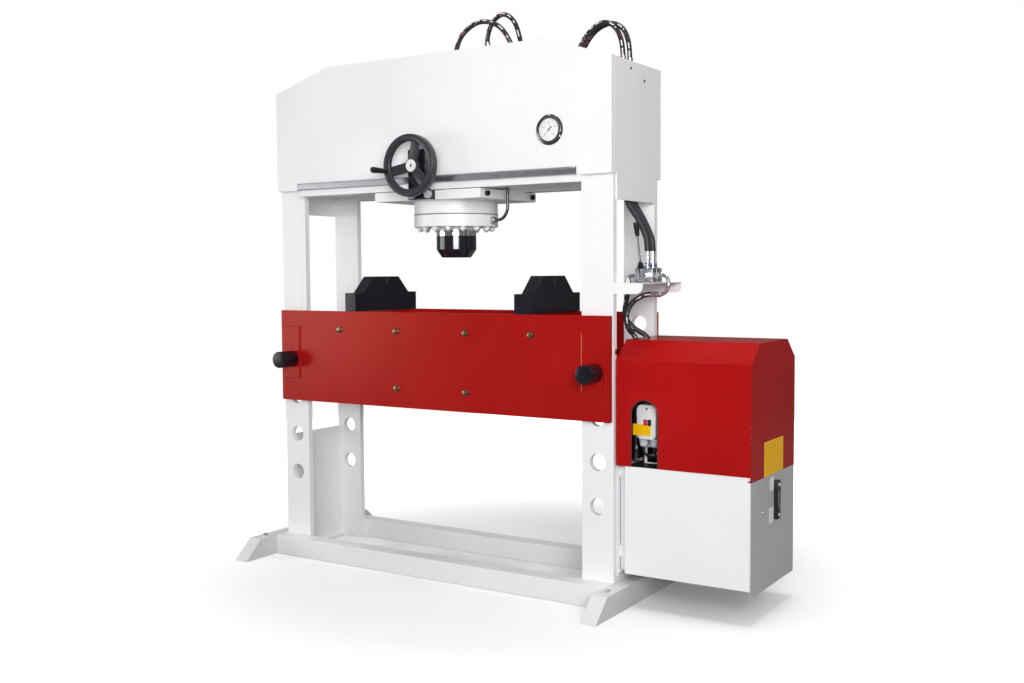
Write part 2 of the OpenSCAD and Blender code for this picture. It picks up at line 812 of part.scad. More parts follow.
module gauge_dial() placed(white) difference() {
  bar_y([gauge_x, dial_y, gauge_z], dial_d, dial_t);
  bar_y([gauge_x, dial_y - cut, gauge_z], 4 + 2 * run_gap, dial_t + 2 * cut);
}

module gauge_glass() placed([0.8, 0.9, 0.95, 0.3]) bar_y([gauge_x, front_y - drum_h + 2, gauge_z], dial_d, 2);

// Needle on its spindle, pointing to the low end of the scale
module gauge_needle() placed(black) {
  arm = 0.42 * dial_d;
  tail = 0.14 * dial_d;
  y = dial_y - 4;
  translate([gauge_x, 0, gauge_z]) rotate([0, -225, 0])
    plate_xz([[-tail, -3], [0, -2], [arm, -0.6], [arm, 0.6], [0, 2], [-tail, 3]], y, 1.2);
  bar_y([gauge_x, y - 2, gauge_z], 10, 4);
  bar_y([gauge_x, y, gauge_z], 4, 4 + dial_t - slide_gap);
}

// Table plate with holes for its pins and tie bolts
module table_plate(y) {
  difference() {
    block([-table_len / 2, y, table_z], [table_len / 2, y + plate_t, table_top]);
    for (s = [-1, 1]) bar_y([s * pin_x, y - cut, pin_z], hole_d, plate_t + 2 * cut);
    for (p = tie_spots) bar_y([p[0], y - cut, p[1]], tie_d + 2 * bolt_gap, plate_t + 2 * cut);
  }
}

module table_front_plate() placed(red) table_plate(table_front);
module table_rear_plate() placed(red) table_plate(table_y);

// Tubes that hold the table plates apart
module table_spacers() placed(red) {
  for (p = tie_spots) difference() {
    bar_y([p[0], -table_y, p[1]], tube_d, 2 * table_y);
    bar_y([p[0], -table_y - cut, p[1]], tie_d + 2 * bolt_gap, 2 * (table_y + cut));
  }
}

// Through bolts with a head in front and a nut behind
module tie_bolts() placed(red) {
  for (p = tie_spots) {
    hex_y([p[0], table_front - tie_head, p[1]], tie_af, tie_head);
    bar_y([p[0], table_front - cut, p[1]], tie_d, 2 * (table_y + plate_t) + cut);
    hex_y([p[0], table_y + plate_t, p[1]], tie_af, tie_head);
  }
}

// Pin through both table plates and both uprights
module table_pin(x) {
  head_y = table_front - slide_gap - pin_head_len;
  rim = 3;
  translate([x, head_y, pin_z]) rotate([-90, 0, 0]) rotate_extrude() polygon([
    [0, 0], [pin_head_d / 2 - rim, 0], [pin_head_d / 2, rim], [pin_head_d / 2, pin_head_len],
    [pin_d / 2, pin_head_len], [pin_d / 2, table_y + plate_t + pin_stub - head_y - rim],
    [pin_d / 2 - rim, table_y + plate_t + pin_stub - head_y], [0, table_y + plate_t + pin_stub - head_y]
  ]);
}

module table_pin_left() placed(black) table_pin(-pin_x);
module table_pin_right() placed(black) table_pin(pin_x);

// Supporting block with a vee across its top, resting on both table plates
module v_block(x) {
  half = table_y + plate_t;
  shoulder = half - block_step;
  plate_yz([
    [-half, table_top], [half, table_top], [half, table_top + block_foot],
    [shoulder, table_top + block_foot], [block_top / 2, table_top + block_h], [vee, table_top + block_h],
    [0, table_top + block_h - vee], [-vee, table_top + block_h], [-block_top / 2, table_top + block_h],
    [-shoulder, table_top + block_foot], [-half, table_top + block_foot]
  ], x - block_t / 2, block_t);
}

module v_block_left() placed(black) v_block(block_left_x);
module v_block_right() placed(black) v_block(block_right_x);

// Plate under the rails that carries the cylinder and the wheel bracket
module carriage_plate() placed(white) difference() {
  block([carriage_x - carriage_len / 2, front_y, carriage_z],
        [carriage_x + carriage_len / 2, front_y + carriage_d, carriage_top]);
  translate([carriage_x, 0, carriage_z - cut]) cylinder(d = barrel_d + 2 * run_gap, h = carriage_t + 2 * cut);
  for (s = [-1, 1]) bar_y([bracket_bolt_x - (1 - s) / 2 * (bracket_w + bracket_foot) / 2, front_y - cut,
                           bracket_bolt_z], bracket_bolt_d + 2 * bolt_gap, 41);
  for (s = [-1, 1], y = stop_y) bar_x([carriage_x + s * carriage_len / 2 - (1 + s) / 2 * stop_deep
                                       - (1 - s) / 2 * cut, y, bracket_bolt_z],
                                      stop_d / 2 + 2 * bolt_gap, stop_deep + cut);
}

stop_d = 24;
stop_deep = 30;
stop_out = 14;
stop_y = [-190, 200];

// Cylinder: wide lower body, barrel through the carriage plate and the flange that slides on the rails
module cylinder_barrel() placed(white) difference() {
  union() {
    translate([carriage_x, 0, 0]) rotate_extrude() polygon([
      [bore_d / 2, gland_top], [body_d / 2, gland_top], [body_d / 2, carriage_z], [barrel_d / 2, carriage_z],
      [barrel_d / 2, barrel_top], [0, barrel_top], [0, bore_top], [bore_d / 2, bore_top]
    ]);
    difference() {
      block([carriage_x - flange_len / 2, -flange_d / 2, flange_z],
            [carriage_x + flange_len / 2, flange_d / 2, flange_z + flange_t]);
      translate([carriage_x, 0, flange_z - cut]) cylinder(d = barrel_d - 2, h = flange_t + 2 * cut);
    }
  }
  for (i = [0 : gland_bolt_n - 1]) translate([carriage_x, 0, gland_top - cut]) rotate(360 * i / gland_bolt_n)
    translate([gland_pcd / 2, 0, 0]) cylinder(d = gland_bolt_d + 2 * bolt_gap, h = 31);
}

// Ring that closes the cylinder round the ram
module gland_ring() placed(white) difference() {
  translate([carriage_x, 0, 0]) rotate_extrude() polygon([
    [ram_d / 2 + run_gap, gland_z], [body_d / 2 + gland_rim, gland_z], [body_d / 2 + gland_rim, gland_top],
    [bore_d / 2 - run_gap, gland_top], [bore_d / 2 - run_gap, gland_top + gland_spigot],
    [ram_d / 2 + run_gap, gland_top + gland_spigot]
  ]);
  for (i = [0 : gland_bolt_n - 1]) translate([carriage_x, 0, gland_z - cut]) rotate(360 * i / gland_bolt_n)
    translate([gland_pcd / 2, 0, 0]) cylinder(d = gland_bolt_d + 2 * bolt_gap, h = gland_h + 2 * cut);
}

module gland_bolts() placed(steel) {
  for (i = [0 : gland_bolt_n - 1]) translate([carriage_x, 0, gland_z]) rotate(360 * i / gland_bolt_n)
    translate([gland_pcd / 2, 0, 0]) {
      hex_z([0, 0, -gland_head], gland_af, gland_head);
      translate([0, 0, -cut]) cylinder(d = gland_bolt_d, h = gland_h + 25);
    }
}

// End stops of the carriage and the bolts of the wheel bracket
module carriage_screws() placed(black) {
  for (s = [0, 1], y = stop_y) translate([carriage_x, 0, 0]) mirror([s, 0, 0]) {
    bar_x([carriage_len / 2, y, bracket_bolt_z], stop_d, stop_out);
    bar_x([carriage_len / 2 - stop_deep + cut, y, bracket_bolt_z], stop_d / 2, stop_deep);
  }
  for (s = [-1, 1])
    translate([bracket_bolt_x - (1 - s) / 2 * (bracket_w + bracket_foot) / 2, 0, bracket_bolt_z]) {
    hex_y([0, bracket_y - 10, 0], 1.5 * bracket_bolt_d, 10);
    bar_y([0, bracket_y - cut, 0], bracket_bolt_d, 60);
  }
}

// Bracket that holds the pinion shaft in front of the rack
module wheel_bracket() placed(black) {
  left = wheel_x - bracket_w / 2;
  right = wheel_x + bracket_w / 2;
  foot = right + bracket_foot;
  foot_top = carriage_top - slide_gap;
  difference() {
    union() {
      plate_xz([
        [left, carriage_z], [foot, carriage_z], [foot, foot_top], [right, foot_top + bracket_foot],
        [right, wheel_z + bracket_up], [left, wheel_z + bracket_up]
      ], bracket_y, bracket_t);
      block([left, bracket_y + bracket_t, carriage_z], [foot, front_y, foot_top]);
      bar_y([wheel_x, bracket_y - boss_len, wheel_z], 2 * shaft_d, boss_len);
    }
    bar_y([wheel_x, bracket_y - boss_len - cut, wheel_z], shaft_d + 2 * run_gap,
          boss_len + bracket_t + 2 * cut);
    for (s = [-1, 1]) bar_y([bracket_bolt_x - (1 - s) / 2 * (bracket_w + bracket_foot) / 2, bracket_y - cut,
                             bracket_bolt_z], bracket_bolt_d + 2 * bolt_gap, front_y - bracket_y + 2 * cut);
  }
}

module return_pipe() placed(dark) tube_along(return_path, pipe_d, 3);

// Fittings at the gland, the barrel's port and the return hose
module cylinder_fittings() placed(steel) {
  fit_x = carriage_x + body_d / 2 + gland_rim;
  side_z = gland_z + gland_h / 2;
  translate([fit_x, 0, side_z]) rotate([0, 90, 0]) cylinder(d = 32, h = return_path[0][0] - fit_x, $fn = 6);
  hex_z([port_x[0], port_y[0], barrel_top], 34, port_z[0] - barrel_top);
  for (i = [0, 1]) translate([port_x[i], port_y[i], port_z[i]]) cylinder(d = hose_d + 6, h = ferrule_len);
}

// Ram with its piston in the bore
module ram() placed(steel) difference() {
  translate([carriage_x, 0, 0]) rotate_extrude() polygon([
    [0, ram_z], [ram_d / 2, ram_z], [ram_d / 2, piston_top - piston_len],
    [bore_d / 2 - piston_gap, piston_top - piston_len], [bore_d / 2 - piston_gap, piston_top], [0, piston_top]
  ]);
  translate([carriage_x, 0, ram_z - cut])
    cylinder(d = nose_spigot_d + 2 * run_gap, h = nose_spigot_h + 2 * cut);
}

module ram_nose() placed(black) translate([carriage_x, 0, 0]) rotate_extrude() polygon([
  [0, nose_z], [nose_d / 2, nose_z], [ram_d / 2, nose_z + nose_chamfer], [ram_d / 2, ram_z],
  [nose_spigot_d / 2, ram_z], [nose_spigot_d / 2, ram_z + nose_spigot_h], [0, ram_z + nose_spigot_h]
]);

// Dished handwheel with three spokes and the fixed pin of its handle
module handwheel() placed(black) {
  outer = wheel_d / 2;
  inner = outer - rim_w;
  edge = rim_t / 4;
  difference() {
    union() {
      translate([wheel_x, rim_y, wheel_z]) rotate([-90, 0, 0]) rotate_extrude($fn = 96) polygon([
        [inner, edge], [inner + edge, 0], [outer - rim_w / 2, edge / 2], [outer - edge, 0], [outer, edge],
        [outer, rim_t - edge], [outer - edge, rim_t], [inner + edge, rim_t], [inner, rim_t - edge]
      ]);
      for (i = [0 : 2]) translate([wheel_x, rim_y + edge + 2, wheel_z]) rotate([0, -spoke_turn - 120 * i, 0])
        plate_xz([[hub_d / 4, -spoke_w / 2 - 4], [outer - rim_w / 2, -spoke_w / 2 + 3],
                  [outer - rim_w / 2, spoke_w / 2 - 3], [hub_d / 4, spoke_w / 2 + 4]], 0, spoke_t);
      bar_y([wheel_x, hub_y, wheel_z], hub_d, hub_len);
    }
    bar_y([wheel_x, shaft_end, wheel_z], shaft_d, hub_len + cut);
  }
  bar_y([handle_x, handle_y - handle_len + 12, handle_z], handle_pin_d, handle_len + edge);
}

// Bright cap over the shaft's end
module hub_cap() placed(steel) difference() {
  bar_y([wheel_x, hub_y - 5, wheel_z], 0.8 * hub_d, 5);
  bar_y([wheel_x, hub_y - 5 - cut, wheel_z], 12, 5);
}

// Involute of the pinion's flank: half the tooth's angle at a radius
function involute(a) = tan(a) * 180 / PI - a;
function half_tooth(r, base, free) = 90 / pinion_n - free + involute(20) - involute(acos(min(1, base / r)));

// Pinion cut on its shaft
module pinion_shaft() placed(steel) {
  base = pinion_r * cos(20);
  root = pinion_r - 1.25 * gear_m;
  tip = pinion_r + gear_m;
  steps = 4;
  free = gear_play / 4 / pinion_r * 180 / PI;
  radii = [for (i = [0 : steps]) base + (tip - base) * i / steps];
  rise = [for (r = radii) [r, half_tooth(r, base, free)]];
  points = [for (k = [0 : pinion_n - 1])
    let (mid = -90 + 360 * (k + 0.5) / pinion_n)
    each concat(
      [let (a = mid - rise[0][1]) root * [cos(a), sin(a)]],
      [for (f = rise) let (a = mid - f[1]) f[0] * [cos(a), sin(a)]],
      [for (i = [steps : -1 : 0]) let (a = mid + rise[i][1]) rise[i][0] * [cos(a), sin(a)]],
      [let (a = mid + rise[0][1]) root * [cos(a), sin(a)]])];
  width = rack_t - 2;
  translate([wheel_x, 0, wheel_z]) plate_xz(points, front_y - cut - width, width);
  bar_y([wheel_x, shaft_end, wheel_z], shaft_d, front_y - cut - shaft_end);
}

// Tapered handle that turns on the wheel's pin
module wheel_handle() placed(black) difference() {
  translate([handle_x, handle_y - handle_len, handle_z]) rotate([-90, 0, 0]) rotate_extrude() polygon([
    [0, 0], [handle_d / 2 - 5, 0], [handle_d / 2, 6], [handle_d / 2, 24], [handle_d / 2 - 5, handle_len - 14],
    [handle_d / 2 - 2, handle_len], [0, handle_len]
  ]);
  bar_y([handle_x, handle_y - handle_len + 11, handle_z], handle_pin_d + 2 * run_gap, handle_len);
}

// Folded shelf on the uprights' outer sides
module valve_shelf() placed(white) {
  low = shelf_z - shelf_flange;
  front = -half_d + 7;
  flange = [[shelf_x, shelf_z - shelf_t], [shelf_x, low], [shelf_x + shelf_w - shelf_r, low],
            [shelf_x + shelf_w, low + shelf_r], [shelf_x + shelf_w, shelf_z - shelf_t]];
  rounded = concat([flange[0], flange[1]],
                   [for (a = [-90 : 15 : 0]) [shelf_x + shelf_w - shelf_r + shelf_r * cos(a),
                                              low + shelf_r + shelf_r * sin(a)]], [flange[4]]);
  block([shelf_x, front, shelf_z - shelf_t], [shelf_x + shelf_w, front + shelf_len, shelf_z]);
  for (y = [front, front + shelf_len - shelf_t]) plate_xz(rounded, y, shelf_t);
}

// Lever valve: ported body with a lever housing in front
module control_valve() placed(steel) {
  difference() {
    block([valve_mid - valve_w / 2, -valve_len / 2, shelf_z],
          [valve_mid + valve_w / 2, valve_len / 2, valve_top]);
    for (i = [0, 1]) translate([feed_x[i], feed_y[i], valve_top - 20]) cylinder(d = 22, h = 20 + cut);
  }
  difference() {
    bar_y([valve_mid, -valve_len / 2 - neck_len, lever_z], 50, neck_len);
    block([valve_mid - lever_d / 2 - 1, -valve_len / 2 - neck_len - cut, lever_z - 14],
          [valve_mid + lever_d / 2 + 1, -valve_len / 2 - 3, lever_z + 40]);
    bar_x([valve_mid - 26, lever_y, lever_z], 8 + 2 * run_gap, 52);
  }
  bar_y([valve_mid, valve_len / 2, lever_z], 46, 34);
}

// Turns what is drawn upright on the lever's pivot to the lean that it rests at
module leaned() translate([valve_mid, lever_y, lever_z]) rotate([lever_lean, 0, 0]) children();

module valve_lever() placed(steel) leaned() {
  cylinder(d = lever_d, h = lever_len - grip_len / 2);
  bar_x([-24, 0, 0], 8, 48);
}

module lever_grip() placed(black) leaned() translate([0, 0, lever_len - grip_len]) difference() {
  rotate_extrude() polygon([[0, 0], [8, 0], [10, 4], [13, grip_len - 12], [12, grip_len - 3],
                            [8, grip_len], [0, grip_len]]);
  translate([0, 0, -cut]) cylinder(d = lever_d + 2 * run_gap, h = grip_len / 2 + 2 * cut);
}

// Nuts, crimped ends, elbows and the upright pipes in the crown
module valve_fittings() placed(steel) {
  for (i = [0, 1]) {
    hex_z([feed_x[i], feed_y[i], valve_top], 32, 22);
    translate([feed_x[i], feed_y[i], valve_top + 22]) cylinder(d = 22, h = feed_top_z[i] - valve_top - 22);
    translate([drop_x, drop_y[i], drop_low]) cylinder(d = pipe_d + 8, h = drop_top - drop_low);
    translate([drop_x, drop_y[i], drop_top]) cylinder(d = hose_d + 6, h = ferrule_len);
    tube_along(elbow_paths[i], pipe_d + 2, 3);
  }
  translate([valve_mid + valve_w / 2, -30, lever_z]) rotate([0, 90, 0]) cylinder(d = 30, h = 24, $fn = 6);
  translate([valve_mid - valve_w / 2 - 10, -20, lever_z]) rotate([0, 90, 0])
    cylinder(d = 30, h = 10, $fn = 6);
  bar_x([side_x, side_y, side_z], valve_hose_d, 30);
  translate([loop_x, -20, loop_z]) cylinder(d = valve_hose_d, h = lever_z - 20 - loop_z);
}

module valve_hoses() placed(dark) {
  for (p = feed_paths) tube_along(p, valve_hose_d, 2);
  for (p = pump_paths) tube_along(p, valve_hose_d - 4, 2);
}

// Bracket that hangs the tank on the right side plate
module tank_bracket() placed(white) {
  plate = 5;
  strap_in = 60;
  strap_h = 50;
  low = tank_z - 22;
  block([upright_out, -inner_d, low], [upright_out + plate, inner_d, side_h]);
  for (z = [tank_z + strap_in, side_h - strap_in])
    block([upright_out + plate, -inner_d + 20, z], [tank_x, inner_d - 20, z + strap_h]);
}

// Welded oil tank; a small stand on its lid carries the starter box
module oil_tank() placed(white) {
  right = unit_x - cover_t;
  difference() {
    block([tank_x, tank_y, tank_z], [right, tank_y + tank_d, tank_top]);
    block([tank_x + tank_t, tank_y + tank_t, tank_z + tank_t],
          [right - tank_t, tank_y + tank_d - tank_t, tank_top - tank_t]);
    translate([motor_mid, motor_y, tank_top - tank_t - cut]) cylinder(d = pump_hole_d, h = tank_t + 2 * cut);
  }
  difference() {
    block([starter_x - starter_w / 2, starter_y + starter_d, tank_top],
          [starter_x + starter_w / 2, starter_y + starter_d + tank_t, starter_z + starter_h]);
    block([starter_x - starter_w / 2 + stand_leg, starter_y + starter_d - cut, tank_top + tank_t],
          [starter_x + starter_w / 2 - stand_leg, starter_y + starter_d + tank_t + cut,
           starter_z - gland_len]);
  }
}

// Side panel of the tank, which hangs a little lower
module tank_panel() placed([0.68, 0.68, 0.69]) block([unit_x - cover_t, tank_y, tank_z - panel_drop],
                                                     [unit_x, tank_y + tank_d, tank_top - skirt_drop]);

// Oil level gauge with its two banjo bolts
module level_gauge() placed(black) {
  end = sight_w * 0.6;
  block([unit_x, sight_y - sight_w / 2, sight_z - sight_pitch / 2 - end],
        [unit_x + sight_t - 6, sight_y + sight_w / 2, sight_z + sight_pitch / 2 + end]);
  for (s = [-1, 1]) bar_x([unit_x + sight_t - 6, sight_y, sight_z + s * sight_pitch / 2], 18, 6);
}

// Red sheet cover over motor and starter, chamfered at front and back, with an arched opening
module pump_cover() placed(red) {
  wall_top = tank_top + cover_h;
  outline = [
    [unit_y, tank_top], [unit_back, tank_top], [unit_back, wall_top], [unit_back - cover_run, cover_top],
    [unit_y + cover_run, cover_top], [unit_y, wall_top]
  ];
  inner = [
    [unit_y + cover_t, tank_top - cut], [unit_back - cover_t, tank_top - cut],
    [unit_back - cover_t, wall_top - cover_t / 2], [unit_back - cover_run - cover_t / 2, cover_top - cover_t],
    [unit_y + cover_run + cover_t / 2, cover_top - cover_t], [unit_y + cover_t, wall_top - cover_t / 2]
  ];
  arch_r = arch_w / 2;
  spring = tank_top + arch_h - arch_r;
  difference() {
    plate_yz(outline, cover_x, unit_x - cover_x);
    plate_yz(inner, cover_x + cover_t, unit_x - cover_x - 2 * cover_t);
    block([arch_mid - arch_r, unit_y - cut, tank_top - cut],
          [arch_mid + arch_r, unit_y + cover_t + cut, spring]);
    bar_y([arch_mid, unit_y - cut, spring], arch_w, cover_t + 2 * cut);
    for (i = [0, 1]) translate([pump_hole_x[i], pump_hole_y[i], cover_top - cover_t - cut])
      cylinder(d = valve_hose_d + 4, h = cover_t + 2 * cut);
  }
  block([unit_x - cover_t, unit_y, tank_top - skirt_drop], [unit_x, unit_back, tank_top]);
  block([upright_out, unit_y + cover_t, wall_top + 20], [cover_x, unit_y + 60, wall_top + 44]);
}

// Finned motor standing on the tank's lid, with its fan cowl on top
module motor() placed(black) {
  fins = 24;
  base = 60;
  cowl = 70;
  translate([motor_mid, motor_y, tank_top]) {
    cylinder(d = motor_d - 20, h = base);
    translate([0, 0, base]) cylinder(d = motor_d + 20, h = 14);
    translate([0, 0, base + 7]) cylinder(d = motor_d - 34, h = motor_h - base - cowl);
    for (i = [0 : fins - 1]) rotate(360 * (i + 0.5) / fins)
      translate([motor_d / 2 - 24, -2, base + 5]) cube([24, 4, motor_h - base - cowl]);
    translate([0, 0, motor_h - cowl]) cylinder(d = motor_d + 8, h = cowl);
    translate([-box_w / 2, -motor_d / 2 - 34, base + 60]) cube([box_w, 64, 90]);
  }
}

// Gear pump below the lid, on the motor's flange, with its suction pipe and strainer
module pump() placed(steel) translate([motor_mid, motor_y, 0]) {
  pump_z = tank_top - pump_neck_h - pump_h;
  strainer_z = tank_z + strainer_up;
  translate([0, 0, tank_top - pump_neck_h - cut]) cylinder(d = pump_hole_d - 4, h = pump_neck_h + cut);
  block([-pump_w / 2, -pump_d / 2, pump_z], [pump_w / 2, pump_d / 2, pump_z + pump_h]);
  translate([0, pump_d / 5, strainer_z]) cylinder(d = suction_d, h = pump_z - strainer_z + cut);
  translate([0, pump_d / 5, strainer_z]) cylinder(d = strainer_d, h = strainer_h);
}

// Starter box with its two cable glands and cables
module starter_box() placed(white) {
  low = [starter_x - starter_w / 2, starter_y, starter_z];
  corner = 10;
  difference() {
    translate([0, starter_y + starter_d, 0]) rotate([90, 0, 0]) linear_extrude(starter_d) polygon([
      [low[0] + corner, low[2]], [low[0] + starter_w - corner, low[2]], [low[0] + starter_w, low[2] + corner],
      [low[0] + starter_w, low[2] + starter_h - corner], [low[0] + starter_w - corner, low[2] + starter_h],
      [low[0] + corner, low[2] + starter_h], [low[0], low[2] + starter_h - corner], [low[0], low[2] + corner]
    ]);
    for (s = [-1, 1]) button_hole(s);
  }
  for (x = gland_x) translate([x, starter_y + starter_d / 2, starter_z - gland_len]) {
    cylinder(d = 22, h = gland_len);
    hex_z([0, 0, gland_len / 3], 26, gland_len / 3);
  }
  for (p = cable_paths) tube_along(p, cable_d, 2, 8);
}

module button_hole(s) {
  x = starter_x + 6 + s * (button_w / 2 + 2);
  block([x - button_w / 2 - slide_gap, starter_y - cut, button_z - button_h / 2 - slide_gap],
        [x + button_w / 2 + slide_gap, starter_y + 16, button_z + button_h / 2 + slide_gap]);
}

// Push button that stands out of the starter box
module push_button(s) {
  x = starter_x + 6 + s * (button_w / 2 + 2);
  block([x - button_w / 2, starter_y - button_out, button_z - button_h / 2],
        [x + button_w / 2, starter_y + 16 - button_travel - slide_gap, button_z + button_h / 2]);
}

module start_button() placed([0.2, 0.22, 0.24]) push_button(1);
module stop_button() placed([0.75, 0.08, 0.12]) push_button(-1);

module top_hose_feed() placed(dark) tube_along(hose_a_path, hose_d, 2);
module top_hose_return() placed(dark) tube_along(hose_b_path, hose_d, 2);

left_skid();
right_skid();
front_sill();
rear_sill();
levelling_screws();
upright_front_left();
upright_front_right();
upright_rear_left();
upright_rear_right();
side_plates();
crown_front_plate();
crown_rear_plate();
crown_ends();
front_rail();
rear_rail();
rack();
gauge_case();
gauge_dial();
gauge_glass();
gauge_needle();
table_front_plate();
table_rear_plate();
table_spacers();
tie_bolts();
table_pin_left();
table_pin_right();
v_block_left();
v_block_right();
carriage_plate();
cylinder_barrel();
gland_ring();
gland_bolts();
carriage_screws();
wheel_bracket();
return_pipe();
cylinder_fittings();
ram();
ram_nose();
handwheel();
hub_cap();
pinion_shaft();
wheel_handle();
valve_shelf();
control_valve();
valve_lever();
lever_grip();
valve_fittings();
valve_hoses();
tank_bracket();
oil_tank();
tank_panel();
level_gauge();
pump_cover();
motor();
pump();
starter_box();
start_button();
stop_button();
top_hose_feed();
top_hose_return();
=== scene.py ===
import math

import bpy
from mathutils import Matrix, Vector


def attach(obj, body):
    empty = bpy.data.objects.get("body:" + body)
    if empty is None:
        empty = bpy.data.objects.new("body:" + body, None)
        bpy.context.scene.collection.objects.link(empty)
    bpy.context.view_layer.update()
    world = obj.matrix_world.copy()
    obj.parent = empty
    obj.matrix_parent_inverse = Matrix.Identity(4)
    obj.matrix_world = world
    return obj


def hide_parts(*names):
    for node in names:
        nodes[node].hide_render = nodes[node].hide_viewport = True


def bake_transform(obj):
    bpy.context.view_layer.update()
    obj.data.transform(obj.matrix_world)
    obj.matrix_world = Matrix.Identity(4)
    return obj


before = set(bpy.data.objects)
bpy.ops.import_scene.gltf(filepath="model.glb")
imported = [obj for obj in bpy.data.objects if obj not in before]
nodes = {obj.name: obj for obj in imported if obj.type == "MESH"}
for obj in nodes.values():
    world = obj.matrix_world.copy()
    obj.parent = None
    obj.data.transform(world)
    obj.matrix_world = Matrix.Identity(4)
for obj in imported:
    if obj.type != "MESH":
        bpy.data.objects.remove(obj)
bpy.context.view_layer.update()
print("frame loaded, nodes:", len(nodes))

mm = 0.001
shiftX = -0.2775  # the press's own middle plane in the part's frame
weldGap = 1e-6  # metres within which two vertices are one
onAxis = 1e-7  # metres within which a vertex lies on the axis it is spun round
facing = 0.9  # how much of a way a face's normal needs to look that way


# Small tools for working on one piece at a time

def freshStart():
    if bpy.context.mode != "OBJECT":
        bpy.ops.object.mode_set(mode="OBJECT")
    bpy.ops.object.select_all(action="DESELECT")


def makeActive(piece):
    freshStart()
    piece.select_set(True)
    bpy.context.view_layer.objects.active = piece


def added(name, operator, **values):  # what the operator adds, under its name
    freshStart()
    operator(**values)
    piece = bpy.context.object
    piece.name = name
    return piece


def settle(piece):  # puts the place, turn and scale into the mesh
    makeActive(piece)
    bpy.ops.object.transform_apply(location=True, rotation=True, scale=True)
    return piece


def putAt(piece, place, turn):
    piece.rotation_euler = turn
    piece.location = place
    return settle(piece)


def smoothen(piece, degrees=35):
    makeActive(piece)
    bpy.ops.object.shade_smooth_by_angle(angle=math.radians(degrees))


def addModifier(piece, kind, **values):
    makeActive(piece)
    modifier = piece.modifiers.new(kind.lower(), kind)
    for key, value in values.items():
        setattr(modifier, key, value)
    bpy.ops.object.modifier_apply(modifier=modifier.name)


def roundEdges(piece, width, segments=2, degrees=30, edgeSlot=-1):
    addModifier(piece, "BEVEL", width=width, segments=segments, limit_method="ANGLE",
                angle_limit=math.radians(degrees), use_clamp_overlap=True, material=edgeSlot)


def cutAway(piece, cutter):
    addModifier(piece, "BOOLEAN", operation="DIFFERENCE", object=cutter, solver="EXACT")
    bpy.data.objects.remove(cutter)


def editMode(piece, kind, action="SELECT"):
    makeActive(piece)
    bpy.ops.object.mode_set(mode="EDIT")
    bpy.ops.mesh.select_mode(type=kind)
    bpy.ops.mesh.select_all(action=action)


def objectMode():
    bpy.ops.object.mode_set(mode="OBJECT")


def pickFaces(piece, test):
    editMode(piece, "FACE", "DESELECT")
    objectMode()
    for face in piece.data.polygons:
        face.select = test(face)
    bpy.ops.object.mode_set(mode="EDIT")


def pickEdges(piece, test):
    editMode(piece, "EDGE", "DESELECT")
    objectMode()
    points = piece.data.vertices
    for edge in piece.data.edges:
        edge.select = test(points[edge.vertices[0]].co, points[edge.vertices[1]].co)
    bpy.ops.object.mode_set(mode="EDIT")


def joinPieces(name, parts):
    freshStart()
    for part in parts:
        part.select_set(True)
    bpy.context.view_layer.objects.active = parts[0]
    if len(parts) > 1:
        bpy.ops.object.join()
    joined = bpy.context.view_layer.objects.active
    joined.name = name
    joined.data.name = name
    return settle(joined)


def dress(piece, finish, stands=(), body="frame", degrees=35, flatten=False):
    smoothen(piece, degrees)
    if flatten:  # broad faces keep their own normals, so that only the broken edges shade round
        addModifier(piece, "WEIGHTED_NORMAL", mode="FACE_AREA", weight=100, keep_sharp=True)
    if finish:
        piece.data.materials.clear()
        piece.data.materials.append(finish)
    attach(piece, body)
    if stands:
        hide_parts(*stands)
    return piece


def at(x, y, z):  # press millimetres to the part's frame
    return Vector((x * mm + shiftX, y * mm, z * mm))


def block(name, low, high, bevel=1.0, segments=2, local=False):
    low, high = (Vector(low) * mm, Vector(high) * mm) if local else (at(*low), at(*high))
    piece = added(name, bpy.ops.mesh.primitive_cube_add, size=1, location=(low + high) / 2)
    piece.scale = high - low
    settle(piece)
    if bevel:
        roundEdges(piece, bevel * mm, segments)
    return piece


axisTurn = {"x": (0, math.pi / 2, 0), "-x": (0, -math.pi / 2, 0), "y": (-math.pi / 2, 0, 0),
            "-y": (math.pi / 2, 0, 0), "z": (0, 0, 0), "-z": (math.pi, 0, 0)}


def turned(name, profile, place, axis="z", steps=48, lean=0):
    # profile holds (radius, height) pairs in millimetres, spun round the axis from the place
    piece = added(name, bpy.ops.mesh.primitive_circle_add, vertices=len(profile), fill_type="NOTHING",
                  location=(0, 0, 0))
    for vertex, (radius, height) in zip(piece.data.vertices, profile):
        vertex.co = (radius * mm, 0, height * mm)
    pickEdges(piece, lambda a, b: a.x < onAxis and b.x < onAxis)
    bpy.ops.mesh.delete(type="EDGE_FACE")
    bpy.ops.mesh.select_mode(type="VERT")
    bpy.ops.mesh.select_all(action="SELECT")
    bpy.ops.mesh.spin(steps=steps, angle=2 * math.pi, center=(0, 0, 0), axis=(0, 0, 1))
    bpy.ops.mesh.select_all(action="SELECT")
    bpy.ops.mesh.remove_doubles(threshold=weldGap)
    bpy.ops.mesh.dissolve_degenerate(threshold=onAxis)
    bpy.ops.mesh.normals_make_consistent(inside=False)
    objectMode()
    turn = Vector(axisTurn[axis])
    turn.x += math.radians(lean)
    return putAt(piece, at(*place), turn)


def disc(radius, height, low=0, high=0):  # the profile of a round bar, its two edges broken by low and high
    start = [(radius - low, 0), (radius, low)] if low else [(radius, 0)]
    end = [(radius, height - high), (radius - high, height)] if high else [(radius, height)]
    return [(0, 0)] + start + end + [(0, height)]


headSpec = dict(chamfer=0.035, edge=0.02, washer=0.11, rims=(0.4, 0.6))  # shares of the width across flats; rims in mm


